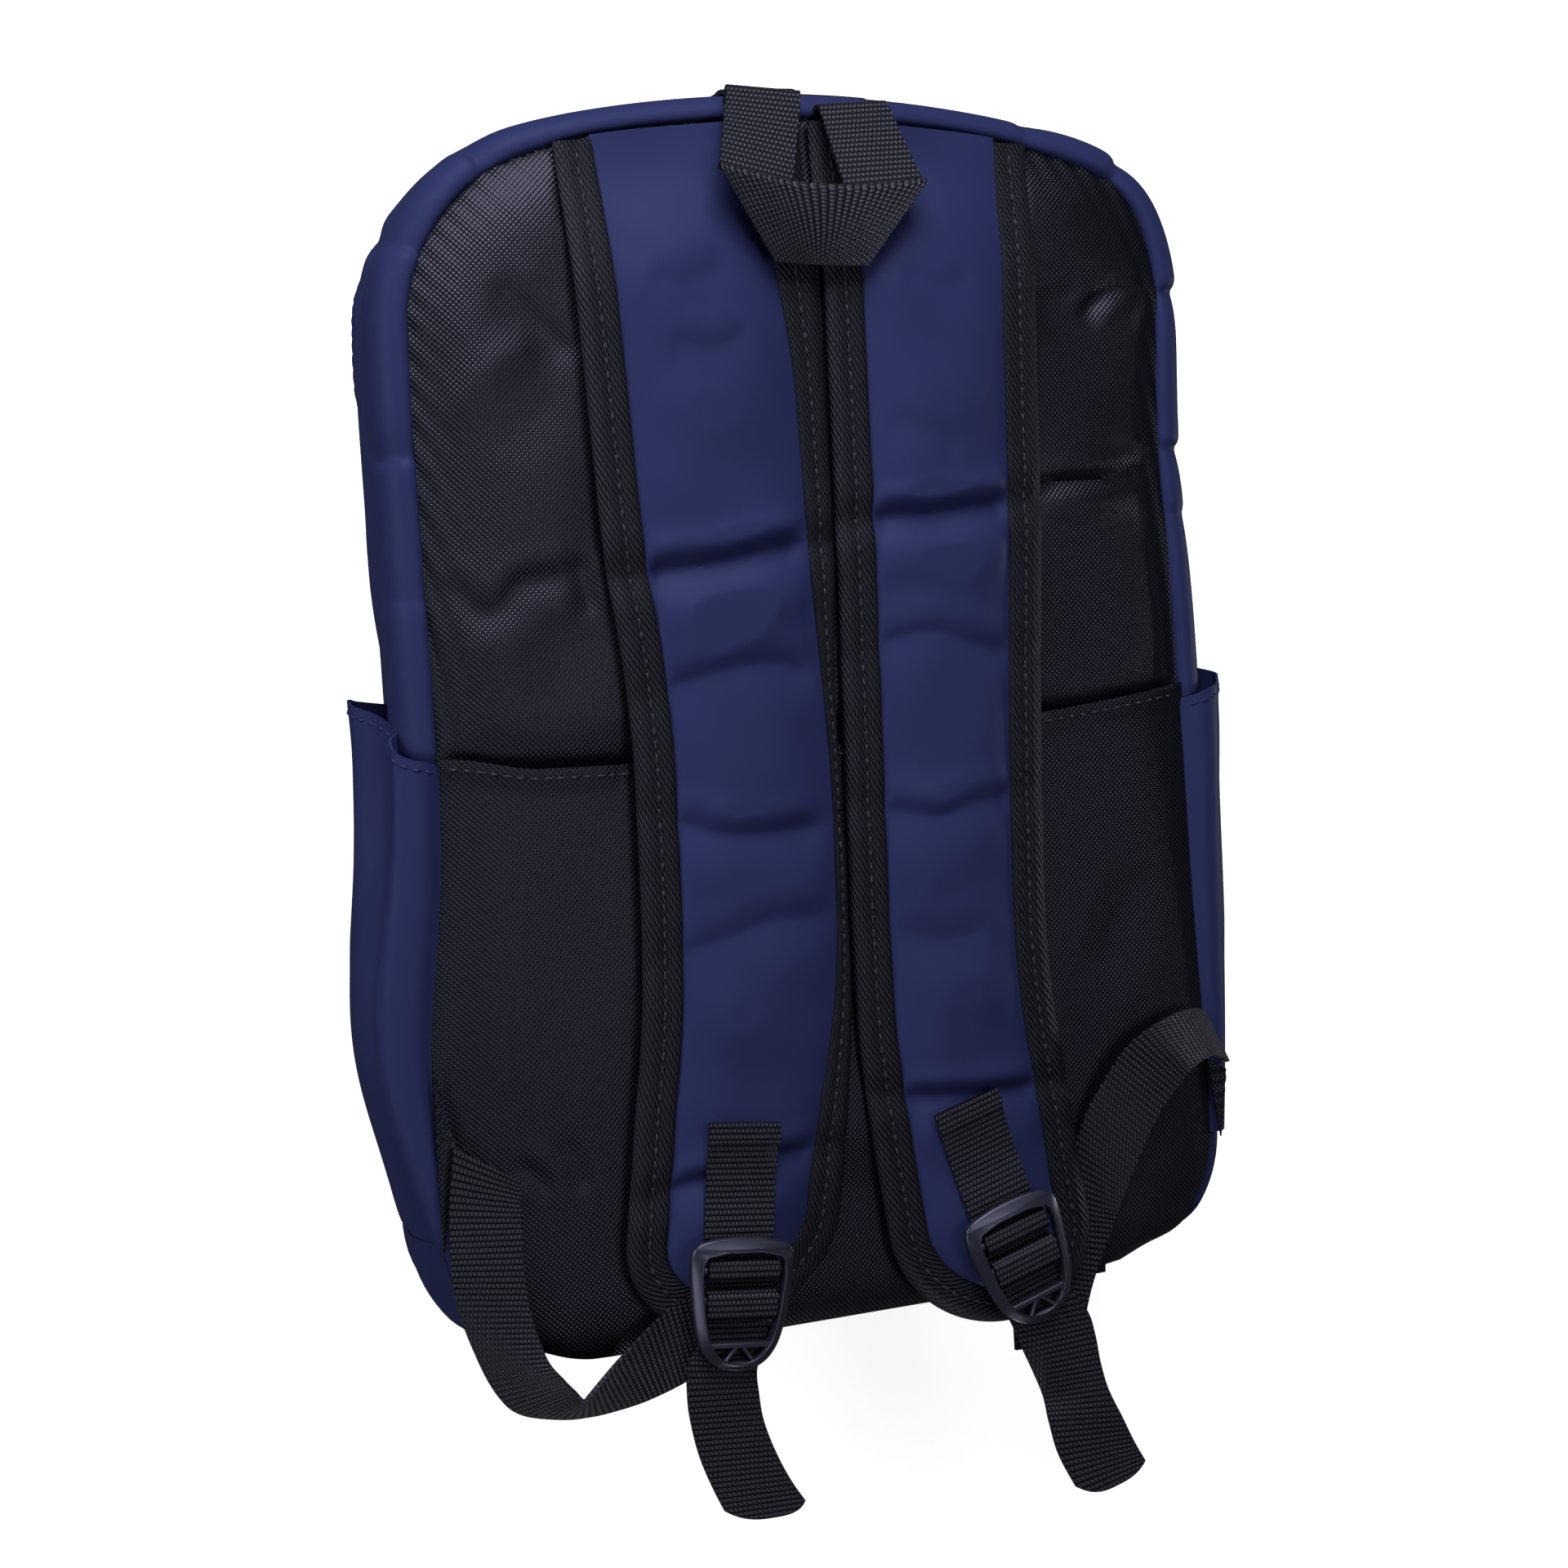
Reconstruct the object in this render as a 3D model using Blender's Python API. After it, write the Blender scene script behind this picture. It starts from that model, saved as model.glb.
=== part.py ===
"""School backpack, lying on its front with the back panel and the shoulder straps up.

Units are metres. +Z points up out of the back panel, +Y to the top of the bag, and +X to the
right of someone who looks at the back panel. The floor is at z = 0, under the front pocket.
Left and right are meant the same way: left is -X.
"""

import math

import bmesh
import bpy
from mathutils import Vector

# Fits
GAP = 0.0003
PULL_PLAY = 0.0005

# Outline of the bag, seen square to its back panel
BODY_WIDTH = 0.292
BODY_LENGTH = 0.428
TOP_CORNER_RADIUS = 0.062
TOP_ARCH_RADIUS = 0.450
BASE_CORNER_RADIUS = 0.050
SIDE_SPLIT_RISE = 0.234

# Depths, from the floor up to the back panel
FRONT_POCKET_DEPTH = 0.034
TRAY_DEPTH = 0.017
ZIP_TAPE_WIDTH = 0.0064
SHELL_DEPTH = 0.062
WALL = 0.002
ZIP_TAPE_THICK = 0.0012

# Front pocket and its zip
FRONT_POCKET_WIDTH = 0.236
FRONT_POCKET_BASE_MARGIN = 0.024
FRONT_POCKET_LENGTH = 0.250
FRONT_POCKET_CORNER = 0.030
FRONT_POCKET_EDGE = 0.010
FRONT_POCKET_EDGE_TURN = 0.003
POCKET_CLOTH = 0.0012
POCKET_ZIP_LENGTH = 0.176
POCKET_ZIP_HEIGHT = 0.023
POCKET_ZIP_WIDTH = 0.012

# Back panel, from the inside out
LINING_THICK = 0.0012
FOAM_THICK = 0.005
BACK_CLOTH = 0.0026
BACK_CROWN = 0.002
BACK_CROWN_RUN = 0.034
EDGE_ROLL_WIDTH = 0.006
EDGE_ROLL_HEIGHT = 0.006

# Slip pocket on the lower half of the back panel
BACK_POCKET_RISE = 0.211
BACK_POCKET_SLOT = 0.0046
BACK_POCKET_CLOTH = 0.0012
BACK_POCKET_SEAM = 0.0015

# Gaping pockets on the two sides
SIDE_POCKET_RISE = 0.227
SIDE_POCKET_FOOT = 0.064
SIDE_POCKET_BULGE = 0.013
SIDE_POCKET_CLOTH = 0.0013
SIDE_POCKET_MARGIN = 0.002

# Shoulder straps
STRAP_WIDTH = 0.078
STRAP_CROWN = 0.0095
STRAP_EDGE = 0.0055
STRAP_SEAM_THICK = 0.004
STRAP_END = 0.036
STRAP_DIP_RUN = 0.052
STRAP_CREASE_DEPTH = 0.0024
STRAP_CREASE_RUN = 0.010
STRAP_ROW_PITCH = 0.022
BINDING_WIDTH = 0.0135
BINDING_THICK = 0.0045

# Webbing, the tabs it is sewn to and the grab handle
WEBBING_WIDTH = 0.025
WEBBING_THICK = 0.0015
TAB_THICK = 0.0015
WEBBING_LEVEL_SHARE = 0.28
WEBBING_EASE_SHARE = 0.30
HANDLE_THICK = 0.0026
HANDLE_FINGER_GAP = 0.0050
HANDLE_PIVOT_RISE = 0.0112
HANDLE_ANCHOR_DEPTH = 0.016
HANDLE_ANCHOR_THICK = 0.0022

# Ladder-lock buckles
BUCKLE_WIDTH = 0.035
BUCKLE_LENGTH = 0.046
BUCKLE_HEIGHT = 0.0055
BUCKLE_BAR_THICK = 0.0025
BUCKLE_CLEARANCE = 0.0026
BUCKLE_WINDOW = 0.0262
BUCKLE_FULLNESS = 0.55
BUCKLE_TOP_RIM = 0.004
BUCKLE_BOW = 0.0015
ANCHOR_BAR_V = 0.0115
ANCHOR_BAR_WIDTH = 0.0034
LADDER_BAR_V = -0.0004
LADDER_BAR_WIDTH = 0.0060
GRIP_TOP_V = -0.0127
WRAP_PLAY = 0.00055
WRAP_SPREAD = 0.0006
WRAP_LEAD = 0.0022
WRAP_TRAIL = 0.0030
GRIP_OVERLAP = 0.0010
BUCKLE_RIM = 0.0012
BUCKLE_SHOULDER = 0.34
BUCKLE_HEAD_SPAN = 0.80
BUCKLE_HEAD_DROP = 0.28
BUCKLE_SHOULDER_ANGLE = 14
GRIP_WINDOW_FOOT = 0.0028
GRIP_WINDOW_HEAD = 0.0024
GRIP_WINDOW_HALF = 0.0045
GRIP_SIDE_WINDOW = (0.0022, 0.0062, 0.0096)
GRIP_SIDE_WINDOW_RISE = 0.0012

# Zip sliders and pulls
SLIDER_LENGTH = 0.011
SLIDER_WIDTH = 0.0085
SLIDER_HEIGHT = 0.0045
PULL_LENGTH = 0.024
PULL_WIDTH = 0.007
PULL_THICK = 0.0018
POCKET_PULL_LENGTH = 0.013
MAIN_SLIDER_LEAN = 0.15

# Facets
CORNER_STEPS = 8
ARCH_STEPS = 6
POCKET_CORNER_STEPS = 4
END_STEPS = 10
HEAD_STEPS = 6
FOOT_STEPS = 12

# Plans of the two straps, seen from above. Rises are above the base. Inner edges are distances from
# the bag's middle to the strap's inner edge. The buckle stands aside of the strap's end, the tail's
# points stand aside of the buckle, and the webbing's places are shares of the way from the side seam
# to the buckle.
STRAP_PLANS = {
    "left": {
        "sign": -1,
        "inner_edges": [
            (0.0035, 0.420), (0.0025, 0.274), (0.0015, 0.144), (0.0055, 0.084), (0.0170, 0.011),
        ],
        "fold_rise": 0.272,
        "crease_rises": [0.234, 0.184, 0.074],
        "buckle_aside": 0.0015,
        "buckle_rise": 0.0225,
        "buckle_lean": -7.0,
        "anchor_length": 0.061,
        "tail": [(-0.0045, -0.0080), (-0.0040, -0.0260), (0.0, -0.0420), (0.0085, -0.0560)],
        "tab_rises": [0.110, 0.062, 0.071],
        "tab_reach": 0.0185,
        "webbing": [
            (0.153, 0.078), (0.093, 0.058), (0.090, 0.040), (0.131, 0.021),
            (0.251, 0.005), (0.437, 0.000), (0.623, 0.008), (0.765, 0.018),
        ],
        "webbing_over": True,
    },
    "right": {
        "sign": 1,
        "inner_edges": [
            (0.0045, 0.420), (0.0035, 0.284), (0.0020, 0.134), (0.0040, 0.079), (0.0115, -0.0035),
        ],
        "fold_rise": 0.287,
        "crease_rises": [0.241, 0.174, 0.079],
        "buckle_aside": 0.0020,
        "buckle_rise": 0.0210,
        "buckle_lean": 16.5,
        "anchor_length": 0.061,
        "tail": [(0.0110, -0.0095), (0.0165, -0.0260), (0.0240, -0.0450), (0.0340, -0.0690)],
        "tab_rises": [0.106, 0.064, 0.090],
        "tab_reach": 0.0145,
        "webbing": [
            (0.182, 0.0925), (0.332, 0.077), (0.449, 0.059), (0.513, 0.040),
            (0.578, 0.021), (0.717, 0.006), (0.877, 0.001),
        ],
        "webbing_over": False,
    },
}


def place_strap(plan):
    """A strap's plan with its routes as points (x, rise), from the strap's and the bag's widths."""
    sign = plan["sign"]
    route = [(sign * (inner + STRAP_WIDTH / 2), rise) for inner, rise in plan["inner_edges"]]
    buckle_x = route[-1][0] + plan["buckle_aside"]
    seam_x = sign * BODY_WIDTH / 2
    return {
        **plan,
        "route": route,
        "buckle": (buckle_x, plan["buckle_rise"]),
        "tail": [(buckle_x + aside, rise) for aside, rise in plan["tail"]],
        "webbing": [(seam_x + (buckle_x - seam_x) * share, rise) for share, rise in plan["webbing"]],
    }


STRAPS = {side: place_strap(plan) for side, plan in STRAP_PLANS.items()}

# Grab handle, seen from above: two legs and the folded band between them, as (x, drop below the top)
HANDLE_LEG_TOPS = [(-0.0270, -0.0020), (0.0032, 0.0282)]
HANDLE_LEG_BENDS = [(-0.0285, -0.0035), (0.0065, 0.0335)]
HANDLE_BEND_DROP = 0.008
HANDLE_BAND_TOP = [(-0.0310, 0.0245), (-0.0050, 0.0290), (0.0125, 0.0300), (0.0430, 0.0290)]
HANDLE_BAND_BASE = [(-0.0100, 0.0555), (-0.0010, 0.0560), (0.0130, 0.0560), (0.0235, 0.0555)]

# Heights that follow from the depths
FRONT_Z = FRONT_POCKET_DEPTH + GAP
RIM_Z = FRONT_Z + TRAY_DEPTH
ZIP_Z = RIM_Z + GAP + ZIP_TAPE_WIDTH + GAP / 2
SHELL_Z = ZIP_Z + GAP / 2 + ZIP_TAPE_WIDTH + GAP
SHELL_TOP_Z = SHELL_Z + SHELL_DEPTH
FOAM_Z = SHELL_TOP_Z - FOAM_THICK
LINING_Z = FOAM_Z - GAP - LINING_THICK
BACK_Z = SHELL_TOP_Z + GAP + BACK_CLOTH
BACK_POCKET_Z = BACK_Z + BACK_CROWN + BACK_POCKET_SLOT + BACK_POCKET_CLOTH
STRAP_Z = BACK_POCKET_Z + GAP + WEBBING_THICK + GAP + GAP
STRAP_TOP_Z = STRAP_Z + STRAP_CROWN
STRAP_SEAM_Z = BACK_Z + BACK_CROWN + GAP
BUCKLE_Z = STRAP_TOP_Z + GAP + WEBBING_THICK + BUCKLE_CLEARANCE
HANDLE_Z = STRAP_TOP_Z + HANDLE_FINGER_GAP + HANDLE_THICK / 2

# Places along the bag, whose middle is at y = 0
BASE_Y = -BODY_LENGTH / 2
TOP_Y = BODY_LENGTH / 2
ARCH_CENTRE_Y = TOP_Y - TOP_ARCH_RADIUS
STRAP_REACH = max(abs(strap["route"][0][0]) for strap in STRAPS.values()) + STRAP_WIDTH / 2
STRAP_ARCH_RADIUS = TOP_ARCH_RADIUS - EDGE_ROLL_WIDTH - 2 * GAP
STRAP_TOP_Y = ARCH_CENTRE_Y + math.sqrt(STRAP_ARCH_RADIUS ** 2 - STRAP_REACH ** 2)
STRAP_DIP_Y = STRAP_TOP_Y - STRAP_DIP_RUN
HANDLE_PIVOT_Y = TOP_Y + GAP + HANDLE_ANCHOR_THICK / 2
HANDLE_PIVOT_Z = SHELL_TOP_Z + HANDLE_PIVOT_RISE


def clear_scene():
    for obj in list(bpy.data.objects):
        bpy.data.objects.remove(obj, do_unlink=True)


# Materials

COLOURS = {
    "navy_coated_cloth": ((0.036, 0.043, 0.135), 0.55, 0.0),
    "black_oxford_cloth": ((0.010, 0.010, 0.012), 0.75, 0.0),
    "black_webbing": ((0.012, 0.012, 0.013), 0.80, 0.0),
    "black_twill_tape": ((0.009, 0.009, 0.011), 0.85, 0.0),
    "black_lining": ((0.020, 0.020, 0.022), 0.85, 0.0),
    "grey_foam": ((0.200, 0.200, 0.210), 0.95, 0.0),
    "navy_zip_tape": ((0.020, 0.024, 0.080), 0.80, 0.0),
    "black_moulded_plastic": ((0.012, 0.012, 0.015), 0.35, 0.0),
    "black_lacquered_zinc": ((0.015, 0.015, 0.017), 0.35, 0.8),
}


def material(name):
    found = bpy.data.materials.get(name)
    if found:
        return found
    colour, roughness, metallic = COLOURS[name]
    made = bpy.data.materials.new(name)
    made.use_nodes = True
    shader = made.node_tree.nodes["Principled BSDF"]
    shader.inputs["Base Color"].default_value = (*colour, 1.0)
    shader.inputs["Roughness"].default_value = roughness
    shader.inputs["Metallic"].default_value = metallic
    return made


# Bodies and solids

def moving_body(name, pivot, parent=None):
    """An empty on a joint's axis, which carries every piece of one moving body."""
    empty = bpy.data.objects.new(name, None)
    bpy.context.collection.objects.link(empty)
    empty["pivot"] = list(pivot)
    base = Vector(parent["pivot"]) if parent else Vector((0.0, 0.0, 0.0))
    empty.parent = parent
    empty.location = Vector(pivot) - base
    return empty


def solid(name, verts, faces, surface, body=None):
    """One closed mesh from points in the bag's frame, carried by the empty of its body."""
    mesh = bpy.data.meshes.new(name)
    mesh.from_pydata([tuple(v) for v in verts], [], faces)
    bm = bmesh.new()
    bm.from_mesh(mesh)
    bmesh.ops.recalc_face_normals(bm, faces=bm.faces)
    bm.to_mesh(mesh)
    bm.free()
    obj = bpy.data.objects.new(name, mesh)
    bpy.context.collection.objects.link(obj)
    obj.data.materials.append(material(surface))
    if body:
        obj.parent = body
        obj.location = -Vector(body["pivot"])
    return obj


def loft(name, sections, surface, body=None, ring=False):
    """A skin over equal loops of points, closed at both ends or joined into a ring."""
    size = len(sections[0])
    count = len(sections)
    faces = []
    for i in range(count if ring else count - 1):
        j = (i + 1) % count
        for k in range(size):
            m = (k + 1) % size
            faces.append((i * size + k, j * size + k, j * size + m, i * size + m))
    if not ring:
        faces.append(tuple(range(size)))
        faces.append(tuple(range((count - 1) * size, count * size)))
    verts = [point for section in sections for point in section]
    return solid(name, verts, faces, surface, body)


def at_height(points, z):
    return [(x, y, z) for x, y in points]


def cut(target, name, sections):
    """Take a lofted shape out of a solid."""
    cutter = loft(name, sections, "black_moulded_plastic", target.parent)
    cutter.hide_render = True
    cutter.display_type = "WIRE"
    modifier = target.modifiers.new(name, "BOOLEAN")
    modifier.operation = "DIFFERENCE"
    modifier.solver = "EXACT"
    modifier.object = cutter


# Outlines

def arc(centre, radius, start, end, steps):
    points = []
    for i in range(steps + 1):
        angle = math.radians(start + (end - start) * i / steps)
        points.append((centre[0] + radius * math.cos(angle), centre[1] + radius * math.sin(angle)))
    return points


STRETCHES = [
    "base_left", "base_left_corner", "left_lower", "left_upper", "top_left_corner", "arch",
    "top_right_corner", "right_upper", "right_lower", "base_right_corner", "base_right",
]


def body_stretches(inset):
    """The bag's outline drawn in by inset, stretch by stretch, clockwise from the middle of the base."""
    half = BODY_WIDTH / 2 - inset
    base = BASE_Y + inset
    base_x = BODY_WIDTH / 2 - BASE_CORNER_RADIUS
    base_y = BASE_Y + BASE_CORNER_RADIUS
    top_x = BODY_WIDTH / 2 - TOP_CORNER_RADIUS
    reach = TOP_ARCH_RADIUS - TOP_CORNER_RADIUS
    top_y = ARCH_CENTRE_Y + math.sqrt(reach ** 2 - top_x ** 2)
    lean = math.degrees(math.asin(top_x / reach))
    base_r = BASE_CORNER_RADIUS - inset
    top_r = TOP_CORNER_RADIUS - inset
    arch_r = TOP_ARCH_RADIUS - inset
    return {
        "base_left": [(0.0, base), (-base_x, base)],
        "base_left_corner": arc((-base_x, base_y), base_r, 270, 180, CORNER_STEPS),
        "left_lower": [(-half, base_y), (-half, BASE_Y + SIDE_SPLIT_RISE)],
        "left_upper": [(-half, BASE_Y + SIDE_SPLIT_RISE), (-half, top_y)],
        "top_left_corner": arc((-top_x, top_y), top_r, 180, 90 + lean, CORNER_STEPS),
        "arch": arc((0.0, ARCH_CENTRE_Y), arch_r, 90 + lean, 90 - lean, ARCH_STEPS),
        "top_right_corner": arc((top_x, top_y), top_r, 90 - lean, 0, CORNER_STEPS),
        "right_upper": [(half, top_y), (half, BASE_Y + SIDE_SPLIT_RISE)],
        "right_lower": [(half, BASE_Y + SIDE_SPLIT_RISE), (half, base_y)],
        "base_right_corner": arc((base_x, base_y), base_r, 0, -90, CORNER_STEPS),
        "base_right": [(base_x, base), (0.0, base)],
    }


def body_run(inset, first, last):
    """The outline from the start of one stretch to the end of another, drawn in at both ends."""
    stretches = body_stretches(inset)
    start = STRETCHES.index(first)
    count = (STRETCHES.index(last) - start) % len(STRETCHES) + 1
    points = []
    for i in range(count):
        stretch = stretches[STRETCHES[(start + i) % len(STRETCHES)]]
        points += stretch[1:] if points else stretch
    points[0] = step_towards(points[0], points[1])
    points[-1] = step_towards(points[-1], points[-2])
    return points


def step_towards(point, other):
    run = math.dist(point, other)
    share = GAP / 2 / run
    return tuple(p + (o - p) * share for p, o in zip(point, other))


def body_loop(inset):
    """The whole outline as a closed loop."""
    stretches = body_stretches(inset)
    points = []
    for name in STRETCHES:
        points += stretches[name][:-1]
    return points


def rounded_rectangle(x0, x1, y0, y1, radius, steps):
    points = arc((x1 - radius, y1 - radius), radius, 0, 90, steps)
    points += arc((x0 + radius, y1 - radius), radius, 90, 180, steps)
    points += arc((x0 + radius, y0 + radius), radius, 180, 270, steps)
    points += arc((x1 - radius, y0 + radius), radius, 270, 360, steps)
    return points


def wall(name, first, last, outer, inner, low, high, surface, body=None):
    """An upright band of cloth along part of the outline."""
    sections = []
    for (ox, oy), (ix, iy) in zip(body_run(outer, first, last), body_run(inner, first, last)):
        sections.append([(ox, oy, low), (ix, iy, low), (ix, iy, high), (ox, oy, high)])
    return loft(name, sections, surface, body)


def plate(name, inset, low, high, surface, body=None):
    loop = body_loop(inset)
    return loft(name, [at_height(loop, low), at_height(loop, high)], surface, body)


# Front of the bag, which lies on the floor

def front_pocket_loop(inset):
    half = FRONT_POCKET_WIDTH / 2 - inset
    base = BASE_Y + FRONT_POCKET_BASE_MARGIN
    top = base + FRONT_POCKET_LENGTH
    radius = FRONT_POCKET_CORNER - inset
    return rounded_rectangle(-half, half, base + inset, top - inset, radius, POCKET_CORNER_STEPS)


def build_front():
    loops = [
        (FRONT_POCKET_EDGE, 0.0),
        (FRONT_POCKET_EDGE_TURN, FRONT_POCKET_EDGE_TURN),
        (0.0, FRONT_POCKET_EDGE),
        (0.0, FRONT_POCKET_DEPTH),
        (POCKET_CLOTH, FRONT_POCKET_DEPTH),
        (POCKET_CLOTH, FRONT_POCKET_EDGE),
        (FRONT_POCKET_EDGE_TURN + POCKET_CLOTH, FRONT_POCKET_EDGE_TURN + POCKET_CLOTH),
        (FRONT_POCKET_EDGE, POCKET_CLOTH),
    ]
    sections = [at_height(front_pocket_loop(inset), z) for inset, z in loops]
    loft("front_pocket", sections, "navy_coated_cloth")

    tray = [(0.0, FRONT_Z), (0.0, RIM_Z), (WALL, RIM_Z), (WALL, FRONT_Z + WALL)]
    loft("front_panel", [at_height(body_loop(inset), z) for inset, z in tray], "navy_coated_cloth")

    inset = (WALL - ZIP_TAPE_THICK) / 2
    wall("front_zip_tape", "left_lower", "right_lower", inset, WALL - inset,
         RIM_Z + GAP, ZIP_Z - GAP / 2, "navy_zip_tape")
    wall("base_hinge_gusset", "base_right_corner", "base_left_corner", 0.0, WALL,
         RIM_Z + GAP, ZIP_Z - GAP / 2, "navy_coated_cloth")

    top = BASE_Y + FRONT_POCKET_BASE_MARGIN + FRONT_POCKET_LENGTH
    low = POCKET_ZIP_HEIGHT - POCKET_ZIP_WIDTH / 2
    high = POCKET_ZIP_HEIGHT + POCKET_ZIP_WIDTH / 2
    half = POCKET_ZIP_LENGTH / 2
    near = top + GAP
    far = near + ZIP_TAPE_THICK
    ends = [[(x, near, low), (x, far, low), (x, far, high), (x, near, high)] for x in (-half, half)]
    loft("pocket_zip_tape", ends, "navy_zip_tape")


# Zip sliders and their pulls

def block(name, origin, across, out, size, surface, body):
    """A slider: a small block that narrows outwards. Its third axis is +Z."""
    length, height, width = size
    sections = []
    for share, reach in ((1.0, 0.0), (1.0, 0.6), (0.7, 1.0)):
        half_l = length / 2 * share
        half_w = width / 2 * share
        centre = Vector(origin) + Vector(out) * (height * reach)
        sections.append([
            centre + Vector(across) * a + Vector((0.0, 0.0, b))
            for a, b in ((-half_l, -half_w), (half_l, -half_w), (half_l, half_w), (-half_l, half_w))
        ])
    return loft(name, sections, surface, body)


def pull_tab(name, top, across, out, length, body):
    """A flat pull that hangs from its slider, waisted below its eye."""
    sections = []
    for share, drop in ((0.8, 0.0), (1.0, 0.2), (0.7, 0.4), (1.0, 0.75), (0.7, 1.0)):
        half = PULL_WIDTH / 2 * share
        centre = Vector(top) - Vector((0.0, 0.0, length * drop))
        deep = Vector(out) * (PULL_THICK / 2)
        side = Vector(across) * half
        near = centre - deep
        far = centre + deep
        sections.append([near - side, near + side, far + side, far - side])
    return loft(name, sections, "black_lacquered_zinc", body)


def build_main_zip_slider(side, sign):
    """A slider on the arch of the main zip. It turns about the centre of that arch."""
    lean = math.radians(MAIN_SLIDER_LEAN)
    out = Vector((sign * math.sin(lean), math.cos(lean), 0.0))
    across = Vector((out.y, -out.x, 0.0))
    pivot = Vector((0.0, ARCH_CENTRE_Y, ZIP_Z))
    start = pivot + out * (TOP_ARCH_RADIUS + GAP) + across * (sign * SLIDER_LENGTH / 2)
    body = moving_body(f"{side}_main_slider_turn", pivot)
    size = (SLIDER_LENGTH, SLIDER_HEIGHT, SLIDER_WIDTH)
    block(f"{side}_main_zip_slider", start, across, out, size, "black_lacquered_zinc", body)
    eye = start + out * (SLIDER_HEIGHT + PULL_PLAY + PULL_THICK / 2)
    swing = moving_body(f"{side}_main_pull_swing", eye, body)
    pull_tab(f"{side}_main_zip_pull", eye, across, out, PULL_LENGTH, swing)


def build_pocket_slider():
    top = BASE_Y + FRONT_POCKET_BASE_MARGIN + FRONT_POCKET_LENGTH
    x = -POCKET_ZIP_LENGTH / 2 + SLIDER_LENGTH
    start = Vector((x, top + GAP + ZIP_TAPE_THICK + GAP, POCKET_ZIP_HEIGHT))
    body = moving_body("pocket_slider_run", start)
    across = Vector((1.0, 0.0, 0.0))
    out = Vector((0.0, 1.0, 0.0))
    size = (SLIDER_LENGTH, SLIDER_HEIGHT, SLIDER_WIDTH)
    block("pocket_zip_slider", start, across, out, size, "black_lacquered_zinc", body)
    eye = start + out * (SLIDER_HEIGHT + PULL_PLAY + PULL_THICK / 2)
    swing = moving_body("pocket_pull_swing", eye, body)
    pull_tab("pocket_zip_pull", eye, across, out, POCKET_PULL_LENGTH, swing)


# Main shell, which hinges up from the base

def build_shell(shell):
    navy = "navy_coated_cloth"
    inset = (WALL - ZIP_TAPE_THICK) / 2
    wall("shell_zip_tape", "left_lower", "right_lower", inset, WALL - inset,
         ZIP_Z + GAP / 2, SHELL_Z - GAP, "navy_zip_tape", shell)
    wall("top_gusset", "left_upper", "right_upper", 0.0, WALL, SHELL_Z, SHELL_TOP_Z, navy, shell)
    wall("left_side_panel", "left_lower", "left_lower", 0.0, WALL, SHELL_Z, SHELL_TOP_Z, navy, shell)
    wall("right_side_panel", "right_lower", "right_lower", 0.0, WALL, SHELL_Z, SHELL_TOP_Z, navy, shell)
    wall("base_panel", "base_right_corner", "base_left_corner", 0.0, WALL,
         ZIP_Z + GAP / 2, SHELL_TOP_Z, navy, shell)

    inside = WALL + GAP
    plate("back_lining", inside, LINING_Z, LINING_Z + LINING_THICK, "black_lining", shell)
    plate("back_foam", inside, FOAM_Z, FOAM_Z + FOAM_THICK, "grey_foam", shell)

    low = SHELL_TOP_Z + GAP
    edge = EDGE_ROLL_WIDTH + GAP
    crown = [
        (edge, low),
        (edge, BACK_Z),
        (edge + BACK_CROWN_RUN * 0.4, BACK_Z + BACK_CROWN * 0.7),
        (edge + BACK_CROWN_RUN, BACK_Z + BACK_CROWN),
    ]
    sections = [at_height(body_loop(inset), z) for inset, z in crown]
    loft("back_panel", sections, "black_oxford_cloth", shell)

    roll = [
        (0.0, 0.0), (0.0, 0.6), (0.25, 1.0), (0.75, 1.0), (1.0, 0.6), (1.0, 0.0),
    ]
    sections = [at_height(body_loop(EDGE_ROLL_WIDTH * w), low + EDGE_ROLL_HEIGHT * h) for w, h in roll]
    loft("back_edge_roll", sections, navy, shell, ring=True)


def build_back_pocket(shell):
    """A slip pocket over the lower back, sewn down on three sides and open at its hem."""
    def cloth(inset, hem_y):
        points = body_run(inset, "base_right_corner", "base_left_corner")
        half = BODY_WIDTH / 2 - inset
        return [(half, hem_y)] + points + [(-half, hem_y)]

    edge = EDGE_ROLL_WIDTH + GAP
    low = BACK_Z + BACK_CROWN + GAP
    hem_y = BASE_Y + BACK_POCKET_RISE
    outer = cloth(edge, hem_y)
    sections = [at_height(outer, low), at_height(outer, BACK_POCKET_Z)]
    pocket = loft("back_pocket", sections, "black_oxford_cloth", shell)
    past = WALL
    inner = cloth(edge + BACK_POCKET_SEAM, hem_y + past)
    roof = BACK_POCKET_Z - BACK_POCKET_CLOTH
    cut(pocket, "back_pocket_slot", [at_height(inner, low - past), at_height(inner, roof)])


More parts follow.
